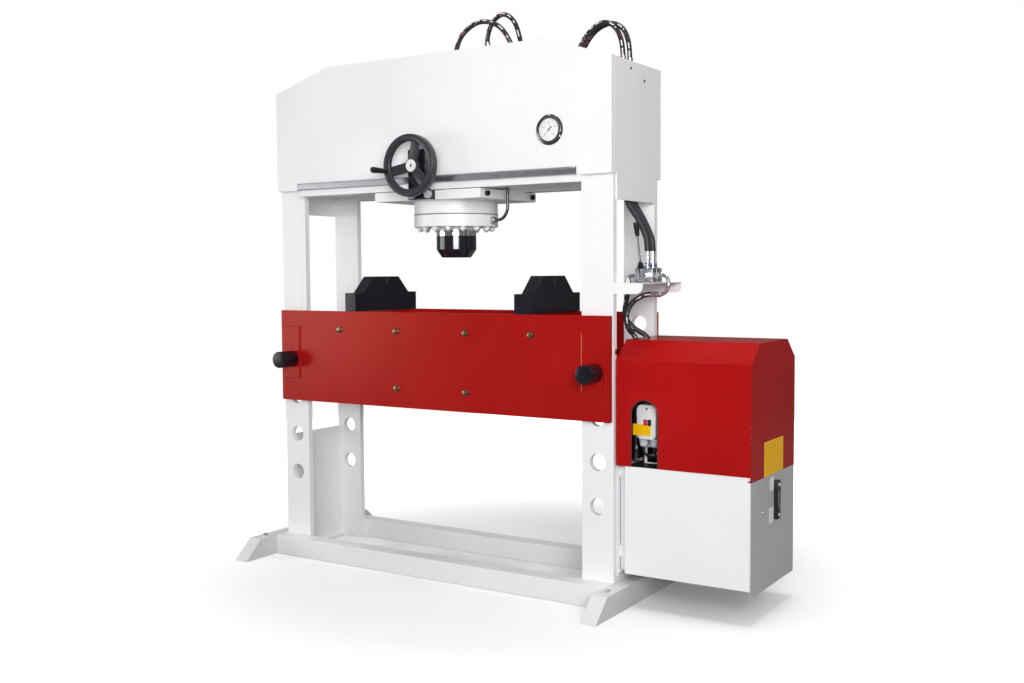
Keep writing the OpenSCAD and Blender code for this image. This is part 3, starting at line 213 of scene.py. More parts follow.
def hexHead(name, place, axis, acrossFlats, height, washer=0, turn=0):
    # a hexagon with its outer corners turned off, and a washer under it
    radius = acrossFlats / 2 / math.cos(math.radians(30))
    chamfer = acrossFlats * headSpec["chamfer"]
    straight = (height - chamfer) * mm
    piece = settle(added(name, bpy.ops.mesh.primitive_cylinder_add, vertices=6, radius=radius * mm, depth=straight,
                         location=(0, 0, straight / 2), rotation=(0, 0, math.radians(turn))))
    pickFaces(piece, lambda face: face.normal.z > facing)
    bpy.ops.mesh.inset(thickness=2 * chamfer * mm, depth=0)
    bpy.ops.transform.translate(value=(0, 0, chamfer * mm))
    roundEdges(piece, acrossFlats * headSpec["edge"] * mm, 1)
    putAt(piece, at(*place), axisTurn[axis])
    if not washer:
        return piece
    plate = turned("washer", disc(washer / 2, acrossFlats * headSpec["washer"], *headSpec["rims"]), place, axis, 32)
    return joinPieces(name, [piece, plate])


def dome(name, place, axis, diameter, height, steps=24):
    radius = diameter / 2
    curve = [(radius * math.cos(a), height * (0.35 + 0.65 * math.sin(a)))
             for a in (math.radians(18 * i) for i in range(5))]
    return turned(name, [(0, 0), (radius, 0)] + curve + [(0, height)], place, axis, steps)


def socketHead(name, place, axis, diameter, height):
    radius, socket, deep = diameter / 2, diameter * 0.29, height * 0.55
    return turned(name, [(0, 0), (radius, 0), (radius, height - 1.4), (radius - 1.4, height), (socket + 0.8, height),
                         (socket, height - 0.8), (socket, height - deep), (0, height - deep - 1)], place, axis, 32)


def ferrule(name, place, axis, diameter, length, crimps=3):
    radius = diameter / 2
    waist = radius * 0.88
    pitch = (length - 6) / crimps
    profile = [(0, 0), (waist, 0), (radius, 1.5)]
    for i in range(crimps):
        start = 3 + i * pitch
        end = start + pitch
        profile += [(radius, start + 0.5), (waist, start + 1.8), (waist, end - 3.4), (radius, end - 2)]
    profile += [(radius, length - 1.6), (radius - 1.2, length), (0, length)]
    return turned(name, profile, place, axis, 32)


def smoothRoute(points, perStretch):
    # the same curve through the points as the solids have, with more stations
    route, last = [], len(points) - 1
    for i in range(last):
        a, b = points[max(i - 1, 0)], points[i]
        c, d = points[i + 1], points[min(i + 2, last)]
        for j in range(perStretch):
            t = j / perStretch
            route.append(0.5 * (2 * b + (c - a) * t + (2 * a - 5 * b + 4 * c - d) * t * t
                                + (3 * b - a - 3 * c + d) * t ** 3))
    return route + [points[last]]


def squared(way):  # the axis that a way runs along most
    most = max(range(3), key=lambda k: abs(way[k]))
    return Vector([math.copysign(1, way[k]) if k == most else 0 for k in range(3)])


def tube(name, points, diameter, perStretch=6, sides=16, ripple=None):
    # a sheet rolled round the route; its map runs in metres along and in turns around
    route = smoothRoute([at(*point) for point in points], perStretch)
    last = len(route) - 1
    along, stations = [0.0], []
    side = Vector((0.3, 1, 0.2))
    for k, place in enumerate(route):
        ahead = route[min(k + 1, last)] - route[max(k - 1, 0)]
        ahead = squared(ahead) if k in (0, last) else ahead.normalized()
        side = (side - side.dot(ahead) * ahead).normalized()
        stations.append((place, side.copy(), ahead.cross(side)))
        if k:
            along.append(along[-1] + (place - route[k - 1]).length)
    piece = added(name, bpy.ops.mesh.primitive_grid_add, x_subdivisions=last, y_subdivisions=sides, size=1,
                  location=(0, 0, 0))
    mesh = piece.data
    sheet = [(round((v.co.x + 0.5) * last), v.co.y + 0.5) for v in mesh.vertices]
    for loop in mesh.loops:
        k, turn = sheet[loop.vertex_index]
        mesh.uv_layers[0].data[loop.index].uv = (along[k], turn)
    for vertex, (k, turn) in zip(mesh.vertices, sheet):
        place, sideways, upward = stations[k]
        radius = diameter / 2 * mm
        if ripple:
            radius *= 1 + ripple["depth"] * math.sin(2 * math.pi * along[k] / ripple["pitch"])
        angle = 2 * math.pi * turn
        vertex.co = place + radius * (math.cos(angle) * sideways + math.sin(angle) * upward)
    editMode(piece, "VERT")
    bpy.ops.mesh.remove_doubles(threshold=weldGap)
    bpy.ops.mesh.fill_holes(sides=0)
    bpy.ops.mesh.select_all(action="SELECT")
    bpy.ops.mesh.normals_make_consistent(inside=False)
    objectMode()
    return piece


# Finishes

def newFinish(name):
    finish = bpy.data.materials.new(name)
    finish.use_nodes = True
    return finish, finish.node_tree, finish.node_tree.nodes["Principled BSDF"]


def feed(node, feeds):  # each input gets a value, or a link from another node's output
    for key, value in feeds.items():
        if isinstance(value, bpy.types.NodeSocket):
            node.id_data.links.new(value, node.inputs[key])
        else:
            node.inputs[key].default_value = value


def newNode(tree, kind, feeds=None, **settings):
    node = tree.nodes.new("ShaderNode" + kind)
    for key, value in settings.items():
        setattr(node, key, value)
    feed(node, feeds or {})
    return node


def objectPlace(tree, stretch=(1, 1, 1)):
    place = newNode(tree, "TexCoord").outputs["Object"]
    return newNode(tree, "Mapping", {"Vector": place, "Scale": stretch}).outputs["Vector"]


def objectNoise(tree, scale, detail, stretch=(1, 1, 1)):
    place = objectPlace(tree, stretch)
    return newNode(tree, "TexNoise", {"Vector": place, "Scale": scale, "Detail": detail}).outputs["Fac"]


def ramp(source, span, tones):  # from the first tone to the second across the span; a number is a grey
    node = newNode(source.id_data, "ValToRGB", {"Fac": source})
    for element, position, tone in zip(node.color_ramp.elements, span, tones):
        element.position = position
        element.color = (*tone, 1) if isinstance(tone, tuple) else (tone, tone, tone, 1)
    return node.outputs["Color"]


def maths(operation, first, second=0.0):
    return newNode(first.id_data, "Math", {0: first, 1: second}, operation=operation).outputs[0]


def mixed(share, below, colour):
    feeds = {"Factor": share, "A": below, "B": (*colour, 1)}
    return newNode(share.id_data, "Mix", feeds, data_type="RGBA").outputs["Result"]


def bump(source, strength, distance):
    feeds = {"Height": source, "Strength": strength, "Distance": distance}
    return newNode(source.id_data, "Bump", feeds).outputs["Normal"]


def specked(tree, colour, specks):
    # scattered round specks, a share of the cells only
    cells = newNode(tree, "TexVoronoi", {"Vector": objectPlace(tree), "Scale": specks["scale"]})
    pick = newNode(tree, "SeparateColor", {"Color": cells.outputs["Color"]})
    near = maths("LESS_THAN", cells.outputs["Distance"], specks["size"])
    some = maths("LESS_THAN", pick.outputs["Red"], specks["share"])
    return mixed(maths("MULTIPLY", near, some), colour, specks["colour"])


# scales of the noises, as a number per metre, and the depth of the grain in metres
paintSpec = dict(drift=2.2, span=(0.32, 0.68), wear=9, grain=320, depth=0.0006)
metalSpec = dict(depth=0.0004, gloss=(0.25, 0.75))
plasticSpec = dict(drift=30, depth=0.0005)
middleSpan = (0.3, 0.7)  # the part of a noise's range that a ramp crosses


def paintFinish(name, dark, light, rough, peel=0.06, specks=None, chips=None, specular=0.5, tint=(1, 1, 1)):
    # sprayed paint: slow drift of tone, orange peel, dust specks, and chips along worn edges
    finish, tree, shader = newFinish(name)
    colour = ramp(objectNoise(tree, paintSpec["drift"], 4), paintSpec["span"], (dark, light))
    if specks:
        colour = specked(tree, colour, specks)
    if chips:
        flaked = maths("GREATER_THAN", objectNoise(tree, chips["scale"], 4), chips["above"])
        colour = mixed(flaked, colour, chips["colour"])
    feed(shader, {"Base Color": colour, "Specular IOR Level": specular, "Specular Tint": (*tint, 1),
                        "Roughness": ramp(objectNoise(tree, paintSpec["wear"], 5), middleSpan, rough),
                        "Normal": bump(objectNoise(tree, paintSpec["grain"], 2), peel, paintSpec["depth"])})
    return finish


def metalFinish(name, dark, light, rough, stretch=(1, 1, 1), scale=60, brush=0.05):
    # bare metal: tone, gloss and brush marks all follow one streaky noise
    finish, tree, shader = newFinish(name)
    streak = objectNoise(tree, scale, 5, stretch)
    feed(shader, {"Metallic": 1.0, "Base Color": ramp(streak, middleSpan, (dark, light)),
                        "Roughness": ramp(streak, metalSpec["gloss"], rough),
                        "Normal": bump(streak, brush, metalSpec["depth"])})
    return finish


def plasticFinish(name, dark, light, rough, scale=420, peel=0.08, specular=0.5):
    # moulded plastic: a fine even grain
    finish, tree, shader = newFinish(name)
    drift = objectNoise(tree, plasticSpec["drift"], 4)
    feed(shader, {"Base Color": ramp(drift, middleSpan, (dark, light)), "Specular IOR Level": specular,
                        "Roughness": ramp(drift, middleSpan, rough),
                        "Normal": bump(objectNoise(tree, scale, 2), peel, plasticSpec["depth"])})
    return finish


rubberSpec = dict(dark=(0.016, 0.016, 0.020), light=(0.030, 0.030, 0.036), rough=(0.38, 0.52), specular=0.35,
                  drift=40, grain=600, bump=0.2, depth=0.0005, strands=10, strandAbove=0.2, strandShare=0.6,
                  strandTone=(0.055, 0.055, 0.062))


def hoseFinish(name, stripes, weave=0):
    # rubber cover with broken printed stripes, or the weave of a sleeve, laid out on the tube's own map
    finish, tree, shader = newFinish(name)
    drift = objectNoise(tree, rubberSpec["drift"], 4)
    colour = ramp(drift, middleSpan, (rubberSpec["dark"], rubberSpec["light"]))
    chart = newNode(tree, "UVMap", uv_map="UVMap")
    split = newNode(tree, "SeparateXYZ", {"Vector": chart.outputs["UV"]})
    along, around = split.outputs["X"], split.outputs["Y"]
    for stripe in stripes:
        off = maths("ABSOLUTE", maths("SUBTRACT", around, stripe["turn"]))
        inside = maths("LESS_THAN", off, stripe["width"])
        steps = newNode(tree, "TexNoise", {"W": along, "Scale": stripe["often"], "Detail": 3},
                        noise_dimensions="1D")
        broken = maths("GREATER_THAN", steps.outputs["Fac"], stripe["gap"])
        colour = mixed(maths("MULTIPLY", inside, broken), colour, stripe["colour"])
    height = objectNoise(tree, rubberSpec["grain"], 2)
    if weave:
        lengthways = maths("MULTIPLY", along, weave)
        turns = maths("MULTIPLY", around, 2 * math.pi * rubberSpec["strands"])
        one = maths("SINE", maths("ADD", lengthways, turns))
        other = maths("SINE", maths("SUBTRACT", lengthways, turns))
        height = maths("MULTIPLY", one, other)
        upper = maths("GREATER_THAN", height, rubberSpec["strandAbove"])
        light = maths("MULTIPLY", upper, rubberSpec["strandShare"])
        colour = mixed(light, colour, rubberSpec["strandTone"])
    feed(shader, {"Base Color": colour, "Specular IOR Level": rubberSpec["specular"],
                        "Roughness": ramp(drift, middleSpan, rubberSpec["rough"]),
                        "Normal": bump(height, rubberSpec["bump"], rubberSpec["depth"])})
    return finish


def glassFinish(name):
    finish, _, shader = newFinish(name)
    feed(shader, {"Base Color": (0.97, 0.98, 0.98, 1), "Roughness": 0.02, "IOR": 1.45, "Alpha": 0.12})
    return finish


whiteTone = dict(dark=(0.84, 0.84, 0.855), light=(0.885, 0.885, 0.90), rough=(0.30, 0.42))
redTone = dict(dark=(0.37, 0.0055, 0.0060), light=(0.42, 0.0075, 0.0080), rough=(0.20, 0.30), specular=0.09)
blackTone = dict(dark=(0.006, 0.0065, 0.011), light=(0.011, 0.012, 0.018), rough=(0.20, 0.30), specular=0.3)
steelChip = dict(scale=55, above=0.66, colour=(0.36, 0.35, 0.35))
whitePaint = paintFinish("white_paint", **whiteTone)
# painted shade: the skids' white paint darkened to a grey for the shade low down by the floor
skidPaintedShade = paintFinish("skid_white_painted_shade", (0.66, 0.66, 0.675), (0.71, 0.71, 0.725), (0.36, 0.48))
whiteEdge = paintFinish("white_paint_edge", chips=steelChip | dict(above=0.72), **whiteTone)
# painted shade: the tank's white side panel darkened to grey for the shade on that side; the specks are its speckled
# texture
panelPaintedShade = paintFinish("tank_panel_painted_shade", (0.45, 0.455, 0.465), (0.53, 0.535, 0.54), (0.32, 0.46),
                        specks=dict(scale=520, size=0.30, share=0.35, colour=(0.30, 0.30, 0.31)))
tablePaint = paintFinish("table_paint", (0.34, 0.0055, 0.0058), (0.38, 0.0075, 0.0078), (0.23, 0.27), specular=0.30,
                         tint=(1.0, 0.42, 0.24),
                         specks=dict(scale=110, size=0.10, share=0.14, colour=(0.60, 0.18, 0.12)))
# painted highlight: a light orange for the lit edge line at the right pin pocket
rimPaintedHighlight = paintFinish("rim_painted_highlight", (0.56, 0.13, 0.05), (0.66, 0.18, 0.07), (0.4, 0.5), specular=0.2)
redPaint = paintFinish("red_paint", specks=dict(scale=90, size=0.10, share=0.08, colour=(0.60, 0.16, 0.13)), **redTone)
redEdge = paintFinish("red_paint_edge", chips=steelChip, **redTone)
# painted shade: near-black tones for the inside of the cover and the tank's lid under it
coverInsideShade = paintFinish("cover_inside_painted_shade", (0.030, 0.004, 0.004), (0.045, 0.005, 0.005), (0.5, 0.6), specular=0.1)
lidPaintedShade = paintFinish("lid_painted_shade", (0.012, 0.012, 0.014), (0.022, 0.022, 0.025), (0.45, 0.6), specular=0.2)
seamRed = paintFinish("seam_red", (0.10, 0.004, 0.004), (0.15, 0.006, 0.005), (0.35, 0.5))
# painted shade: a dark grey for the shadow line in the groove between the cylinder's barrel and its gland ring
jointPaintedShade = paintFinish("joint_painted_shade", (0.16, 0.16, 0.17), (0.22, 0.22, 0.23), (0.5, 0.6))
blackPaint = paintFinish("black_gloss_paint", **blackTone)
blackEdge = paintFinish("black_gloss_edge", chips=steelChip | dict(above=0.70, colour=(0.16, 0.16, 0.18)), **blackTone)
noseBlack = paintFinish("nose_black", **blackTone | dict(rough=(0.10, 0.16), specular=0.72))
wheelPaint = paintFinish("wheel_black", (0.020, 0.021, 0.027), (0.030, 0.031, 0.038), (0.28, 0.42), peel=0.12)
boltWhite = paintFinish("bolt_white", (0.76, 0.76, 0.77), (0.84, 0.84, 0.85), (0.25, 0.38))
rackSteel = metalFinish("rack_steel", (0.32, 0.32, 0.36), (0.46, 0.46, 0.50), (0.28, 0.42), (1, 6, 14), 40)
zincSteel = metalFinish("zinc_steel", (0.62, 0.63, 0.66), (0.80, 0.81, 0.83), (0.16, 0.30))
blueZinc = metalFinish("blue_zinc", (0.34, 0.38, 0.50), (0.48, 0.53, 0.66), (0.22, 0.34))
brassZinc = metalFinish("yellow_zinc", (0.17, 0.12, 0.07), (0.32, 0.24, 0.14), (0.22, 0.36))
chromeSteel = metalFinish("chrome_steel", (0.80, 0.81, 0.83), (0.88, 0.89, 0.90), (0.05, 0.12), (6, 6, 1), 30, 0.01)
bezelChrome = metalFinish("bezel_chrome", (0.13, 0.135, 0.15), (0.20, 0.205, 0.22), (0.12, 0.20), scale=30, brush=0.02)
boltZinc = plasticFinish("bolt_zinc", (0.34, 0.34, 0.40), (0.44, 0.44, 0.50), (0.26, 0.38))
darkSteel = metalFinish("dark_steel", (0.10, 0.10, 0.12), (0.18, 0.18, 0.20), (0.28, 0.42))
castSteel = metalFinish("cast_valve", (0.46, 0.47, 0.49), (0.66, 0.67, 0.69), (0.20, 0.36), scale=90, brush=0.14)
blackPlastic = plasticFinish("black_plastic", (0.010, 0.010, 0.012), (0.018, 0.018, 0.021), (0.28, 0.40), specular=0.35)
motorBlack = plasticFinish("motor_black", (0.010, 0.010, 0.012), (0.020, 0.020, 0.023), (0.42, 0.55), specular=0.3)
redPlastic = plasticFinish("red_plastic", (0.50, 0.012, 0.03), (0.60, 0.02, 0.045), (0.28, 0.36))
starterPlastic = plasticFinish("starter_plastic", (0.74, 0.74, 0.74), (0.80, 0.80, 0.80), (0.36, 0.46))
glandPlastic = plasticFinish("gland_grey", (0.58, 0.58, 0.63), (0.66, 0.66, 0.71), (0.40, 0.52))
yellowPlate = plasticFinish("yellow_plate", (0.88, 0.47, 0.002), (0.94, 0.52, 0.004), (0.30, 0.38), 300, 0.03, 0.15)
yellowRim = plasticFinish("yellow_rim", (0.88, 0.55, 0.02), (0.92, 0.60, 0.04), (0.30, 0.38), 300, 0.03, 0.15)
dialWhite = plasticFinish("dial_white", (0.80, 0.80, 0.79), (0.85, 0.85, 0.84), (0.45, 0.55), 300, 0.02)
printBlack = plasticFinish("print_black", (0.012, 0.012, 0.012), (0.020, 0.020, 0.020), (0.45, 0.55), 300, 0.02)
needleGrey = plasticFinish("needle_grey", (0.20, 0.20, 0.21), (0.26, 0.26, 0.27), (0.35, 0.45), 300, 0.02)
clearGlass = glassFinish("clear_glass")
hoseRubber = hoseFinish("hose_rubber", [
    dict(turn=0.60, width=0.045, often=30, gap=0.52, colour=(0.70, 0.70, 0.72)),
    dict(turn=0.46, width=0.030, often=14, gap=0.58, colour=(0.55, 0.12, 0.16))])
pumpRubber = hoseFinish("pump_hose_rubber", [
    dict(turn=0.52, width=0.040, often=26, gap=0.56, colour=(0.66, 0.66, 0.68))])
sleeveRubber = hoseFinish("sleeve_rubber", [], weave=2 * math.pi / 0.012)
cableGrey = hoseFinish("cable_sheath", [])
print("finishes made:", len(bpy.data.materials))


# Camera, floor and light

cameraSpec = dict(lens=39.62, sensor=36, far=200, place=(3107, -4436, 1421), yaw=32.36, pitch=3.54, roll=-0.36)


def setCamera(spec):
    yaw, pitch, roll = (math.radians(spec[key]) for key in ("yaw", "pitch", "roll"))
    ahead = Vector((-math.sin(yaw) * math.cos(pitch), math.cos(yaw) * math.cos(pitch), -math.sin(pitch)))
    right = Vector((math.cos(yaw), math.sin(yaw), 0))
    up = right.cross(ahead)
    side = math.cos(roll) * right + math.sin(roll) * up
    top = -math.sin(roll) * right + math.cos(roll) * up
    camera = added("photo_camera", bpy.ops.object.camera_add)
    camera.data.lens, camera.data.sensor_width, camera.data.clip_end = spec["lens"], spec["sensor"], spec["far"]
    turn = Matrix((side, top, -ahead)).transposed().to_4x4()
    camera.matrix_world = Matrix.Translation(at(*spec["place"])) @ turn
    bpy.context.scene.camera = camera


white = (1, 1, 1, 1)
floorSpec = dict(radius=6.0, sunk=0.0005, seen=(1.0, 1.0, 1.005), fade=(0.9, 3.2), dim=(0.3332, 0.3332, 0.3381),
                 bounced=(0.34, 0.34, 0.345), rough=0.8, specular=0.1)
skySpec = dict(low=0.15, high=0.50, rise=(0.25, 0.45), seen=1.0)
sunSpec = dict(strength=0.70, angle=9, height=6)
boxSpecs = {  # softboxes: azimuth from straight in front towards the right, metres, watts and degrees
    "key": dict(azimuth=41, away=6.5, height=3.3, size=(2.5, 2.0), power=38, aim=2.4, spread=75),
    "strip": dict(azimuth=30, away=6.5, height=1.9, size=(3.4, 0.7), power=112, aim=1.6, spread=150),
    "left": dict(azimuth=-57, away=8.0, height=1.4, size=(4.8, 2.4), power=130, aim=1.4, spread=180)}


def setFloor(spec):
    floor = added("studio_floor", bpy.ops.mesh.primitive_circle_add, vertices=96, radius=spec["radius"],
                  fill_type="NGON", location=(0, 0, -spec["sunk"]))
    finish, tree, shader = newFinish("studio_floor")
    # the camera sees a white sheet; what it throws back on the press is the dimmer floor of a workshop
    seen = newNode(tree, "LightPath").outputs["Is Camera Ray"]
    bounced = ramp(objectNoise(tree, 3, 3), middleSpan, (spec["dim"], spec["bounced"]))
    # past the press's own shadow the sheet fades into the white behind it
    place = newNode(tree, "TexCoord").outputs["Object"]
    reach = newNode(tree, "VectorMath", {0: place}, operation="LENGTH").outputs["Value"]
    near, far = spec["fade"]
    away = newNode(tree, "MapRange", {"Value": reach, "From Min": near, "From Max": far},
                   interpolation_type="SMOOTHSTEP").outputs["Result"]
    feed(shader, {"Base Color": mixed(seen, bounced, spec["seen"]), "Emission Color": white,
                        "Emission Strength": maths("MULTIPLY", away, seen), "Roughness": spec["rough"],
                        "Specular IOR Level": spec["specular"]})
    floor.data.materials.append(finish)
    settle(floor)


def setSky(spec):
    # white where the camera looks past the floor, and a studio dim towards the horizon for the light
    world = bpy.data.worlds.new("studio_sky")
    bpy.context.scene.world = world
    world.use_nodes = True
    tree = world.node_tree
    way = newNode(tree, "TexCoord").outputs["Generated"]
    upward = newNode(tree, "SeparateXYZ", {"Vector": way}).outputs["Z"]
    start, end = spec["rise"]
    rise = newNode(tree, "MapRange", {"Value": upward, "From Min": start, "From Max": end, "To Min": spec["low"],
                                      "To Max": spec["high"]}).outputs["Result"]
    light = tree.nodes["Background"]
    feed(light, {"Color": white, "Strength": rise})
    seen = newNode(tree, "Background", {"Color": white, "Strength": spec["seen"]})
    ray = newNode(tree, "LightPath").outputs["Is Camera Ray"]
    choose = newNode(tree, "MixShader", {"Fac": ray, 1: light.outputs["Background"], 2: seen.outputs["Background"]})
    feed(tree.nodes["World Output"], {"Surface": choose.outputs["Shader"]})


def setLights(sun, boxes):
    lamp = added("studio_overhead", bpy.ops.object.light_add, type="SUN", location=(0, 0, sun["height"]))
    lamp.data.energy = sun["strength"]
    lamp.data.angle = math.radians(sun["angle"])
    for name, spec in boxes.items():
        azimuth = math.radians(spec["azimuth"])
        place = Vector((spec["away"] * math.sin(azimuth), -spec["away"] * math.cos(azimuth), spec["height"]))
        lamp = added("studio_" + name, bpy.ops.object.light_add, type="AREA", location=place)
        lamp.data.shape = "RECTANGLE"
        lamp.data.size, lamp.data.size_y = spec["size"]
        lamp.data.energy = spec["power"]
        lamp.data.spread = math.radians(spec["spread"])
        lamp.rotation_euler = (Vector((0, 0, spec["aim"])) - place).to_track_quat("-Z", "Y").to_euler()
    bpy.context.scene.view_settings.view_transform = "Standard"


setCamera(cameraSpec)
setFloor(floorSpec)
setSky(skySpec)
setLights(sunSpec, boxSpecs)
print("camera, floor and light set")


# Plates, tubes and turned parts that keep the solid's own shape

whiteCoat = dict(finish=whitePaint, edge=whiteEdge, slot="white_paint")
redCoat = dict(finish=redPaint, edge=redEdge, slot="red_paint")
blackCoat = dict(finish=blackPaint, edge=blackEdge, slot="black_paint")


def roundedNode(node, bevel, finish, slot, edge=None, segments=2, body="frame", shape=None):
    # a merged copy of the solid with its edges broken, as a fitter leaves them
    makeActive(nodes[node])
    bpy.ops.object.duplicate(linked=False)
    piece = bpy.context.view_layer.objects.active
    for key in list(piece.keys()):
        del piece[key]
    piece.parent = None
    piece.name = node + "_piece"
    editMode(piece, "VERT")
    bpy.ops.mesh.remove_doubles(threshold=weldGap)
    bpy.ops.mesh.customdata_custom_splitnormals_clear()
    bpy.ops.mesh.dissolve_limited(angle_limit=math.radians(0.5), use_dissolve_boundaries=False)
    objectMode()
    piece.data.materials.clear()
    for coat in (finish, edge or finish):
        piece.data.materials.append(coat)
    if shape:
        shape(piece)
    roundEdges(piece, bevel * mm, segments, edgeSlot=1)
    dress(piece, None, (node,), body=body, flatten=True)


def recoat(finish, test):  # a shaping step: the faces that the test picks get another finish
    def shape(piece):
        piece.data.materials.append(finish)
        for face in piece.data.polygons:
            if test(face):
                face.material_index = 2
    return shape


roundedWhite = {
    "front_sill": 5, "rear_sill": 5,
    "upright_front_left": 2, "upright_front_right": 2, "upright_rear_left": 2, "upright_rear_right": 2,
    "side_plates": 1.5, "crown_front_plate": 1.5, "crown_rear_plate": 1.5, "crown_ends": 1.2,
    "front_rail": 1.2, "rear_rail": 1.2, "valve_shelf": 1.2, "tank_bracket": 1.5}
for node, bevel in roundedWhite.items():
    roundedNode(node, bevel, **whiteCoat)
# the skids take the darker white, painted shade near the floor
for node in ("left_skid", "right_skid"):
    roundedNode(node, 3, **whiteCoat | dict(finish=skidPaintedShade))

unitSpec = dict(lid=598, middle=(1242, 58, 850))
unitMiddle = at(*unitSpec["middle"])
# painted shade: the tank's lid under the cover is painted black, and the cover's inner faces near-black red, for the
# shade under the cover
shadeTheLid = recoat(lidPaintedShade, lambda face: face.normal.z > facing and face.center.z > unitSpec["lid"] * mm)
shadeCoverInside = recoat(coverInsideShade, lambda face: face.normal.dot(face.center - unitMiddle) < 0)
roundedNode("oil_tank", 1.2, shape=shadeTheLid, **whiteCoat)
# the tank's side panel in grey: painted shade on white paint
roundedNode("tank_panel", 0.8, panelPaintedShade, "grey_paint")

uprightX = (-861, 861)  # the holes for the pins and for lifting lie on the uprights' middle lines
liftSpec = dict(x=uprightX, z=1183, diameter=100, y=(200, 260))


def cutLiftHoles(plate):
    # the rear table plate's lifting holes, behind the upright's own
    near, far = liftSpec["y"]
    for x in liftSpec["x"]:
        cutAway(plate, turned("cutter", disc(liftSpec["diameter"] / 2, far - near), (x, near, liftSpec["z"]), "y"))


roundedNode("table_front_plate", 2.5, **redCoat | dict(finish=tablePaint))
roundedNode("table_spacers", 1, **redCoat)
# the cover's inner faces get the near-black red, painted shade
roundedNode("pump_cover", 1, shape=shadeCoverInside, **redCoat)
roundedNode("table_rear_plate", 2.5, shape=cutLiftHoles, **redCoat)
for node in ("v_block_left", "v_block_right"):
    roundedNode(node, 2.0, **blackCoat)

rackEnd = 782.5  # the stop plates past this, at the rack's ends, are painted with the crown
paintRackEnds = recoat(whitePaint, lambda face: abs(face.center.x - shiftX) > rackEnd * mm)
roundedNode("rack", 0.3, rackSteel, "bare_steel", segments=1, shape=paintRackEnds)
for node in ("carriage_plate", "cylinder_barrel", "gland_ring"):
    roundedNode(node, 1.5, body="carriage", **whiteCoat)
roundedNode("wheel_bracket", 1.5, body="carriage", **blackCoat)
roundedNode("ram", 1.0, chromeSteel, "bright_steel", body="ram")
roundedNode("ram_nose", 1.5, body="ram", **blackCoat | dict(finish=noseBlack))
shaftEnd = -315


def trimShaft(shaft):
    # the shaft stops inside the hub's recessed face
    editMode(shaft, "FACE")
    bpy.ops.mesh.bisect(plane_co=(0, shaftEnd * mm, 0), plane_no=(0, -1, 0), use_fill=True, clear_outer=True)
    objectMode()


roundedNode("pinion_shaft", 0.3, rackSteel, "bare_steel", segments=1, body="handwheel", shape=trimShaft)
roundedNode("motor", 1.0, motorBlack, "motor_casing")
roundedNode("pump", 1.0, castSteel, "cast_valve")
roundedNode("levelling_screws", 0.8, zincSteel, "bright_steel", segments=1)
print("plates and turned parts dressed")


# Pressure gauge on the crown

gaugeSpec = dict(x=645, z=2026, face=-240, dial=-246, glass=-248.8, screwRing=61, scale=270, first=225,
                 divisions=40, top=400, print=0.1)


def ringPlace(spec, angle, radius, y):
    a = math.radians(angle)
    return (spec["x"] + radius * math.cos(a), y, spec["z"] + radius * math.sin(a))


def dialBar(spec, angle, inner, outer, width):
    thick = spec["print"]
    bar = block("dial_bar", (inner, -thick, -width / 2), (outer, thick, width / 2), 0.05, 1, local=True)
    return putAt(bar, at(spec["x"], spec["dial"] - thick, spec["z"]), (0, -math.radians(angle), 0))


def dialNumber(spec, words, angle, radius, size):
    piece = added("dial_number", bpy.ops.object.text_add, location=(0, 0, 0))
    piece.data.body = words
    piece.data.size = size * mm
    piece.data.extrude = spec["print"] * mm
    piece.data.align_x = piece.data.align_y = "CENTER"
    makeActive(piece)
    bpy.ops.object.convert(target="MESH")
    place = at(*ringPlace(spec, angle, radius, spec["dial"] - spec["print"]))
    return putAt(bpy.context.object, place, (math.pi / 2, 0, 0))


def makeGauge(spec):
    case = turned("gauge_case_piece", [
        (0, -30), (42, -30), (42, 0), (65.5, 0), (65.5, 2.6), (64.3, 4), (58.5, 4.6), (57.3, 5.2), (56.8, 6),
        (56.6, 7.6), (55.4, 9.6), (53, 10.6), (50.4, 10.4), (48.6, 9.6), (48, 8.6), (48, 4), (0, 4)],
        (spec["x"], spec["face"], spec["z"]), "-y", 64)
    dress(case, bezelChrome, ("gauge_case",))
    screws = [dome("screw", ringPlace(spec, angle, spec["screwRing"], spec["face"] - 3.8), "-y", 9.5, 4)
              for angle in (90, 210, 330)]
    dress(joinPieces("gauge_screws", screws), zincSteel)
    face = turned("gauge_face_piece", [(2.4, -1.8), (47.8, -1.8), (47.8, 0), (2.4, 0)],
                  (spec["x"], spec["dial"], spec["z"]), "-y", 64)
    dress(face, dialWhite, ("gauge_dial",))
    glass = turned("gauge_glass_piece", [(0, 0), (48.4, 0), (48.4, 1), (47.6, 1.4), (0, 1.6)],
                   (spec["x"], spec["glass"], spec["z"]), "-y", 64)
    dress(glass, clearGlass, ("gauge_glass",))
    marks = []
    for i in range(spec["divisions"] + 1):
        angle = spec["first"] - spec["scale"] * i / spec["divisions"]
        major = i % 5 == 0
        marks.append(dialBar(spec, angle, 37 if major else 40.5, 44, 1.2 if major else 0.6))
        if i % 10 == 0:
            marks.append(dialNumber(spec, str(spec["top"] * i // spec["divisions"]), angle, 29, 8.5))
    dress(joinPieces("gauge_scale", marks), printBlack)


needleSpec = dict(long=41, half=1.8, thin=0.4, point=0.35, edge=0.2, tail=13, tailHalf=1.7, proud=1.4)


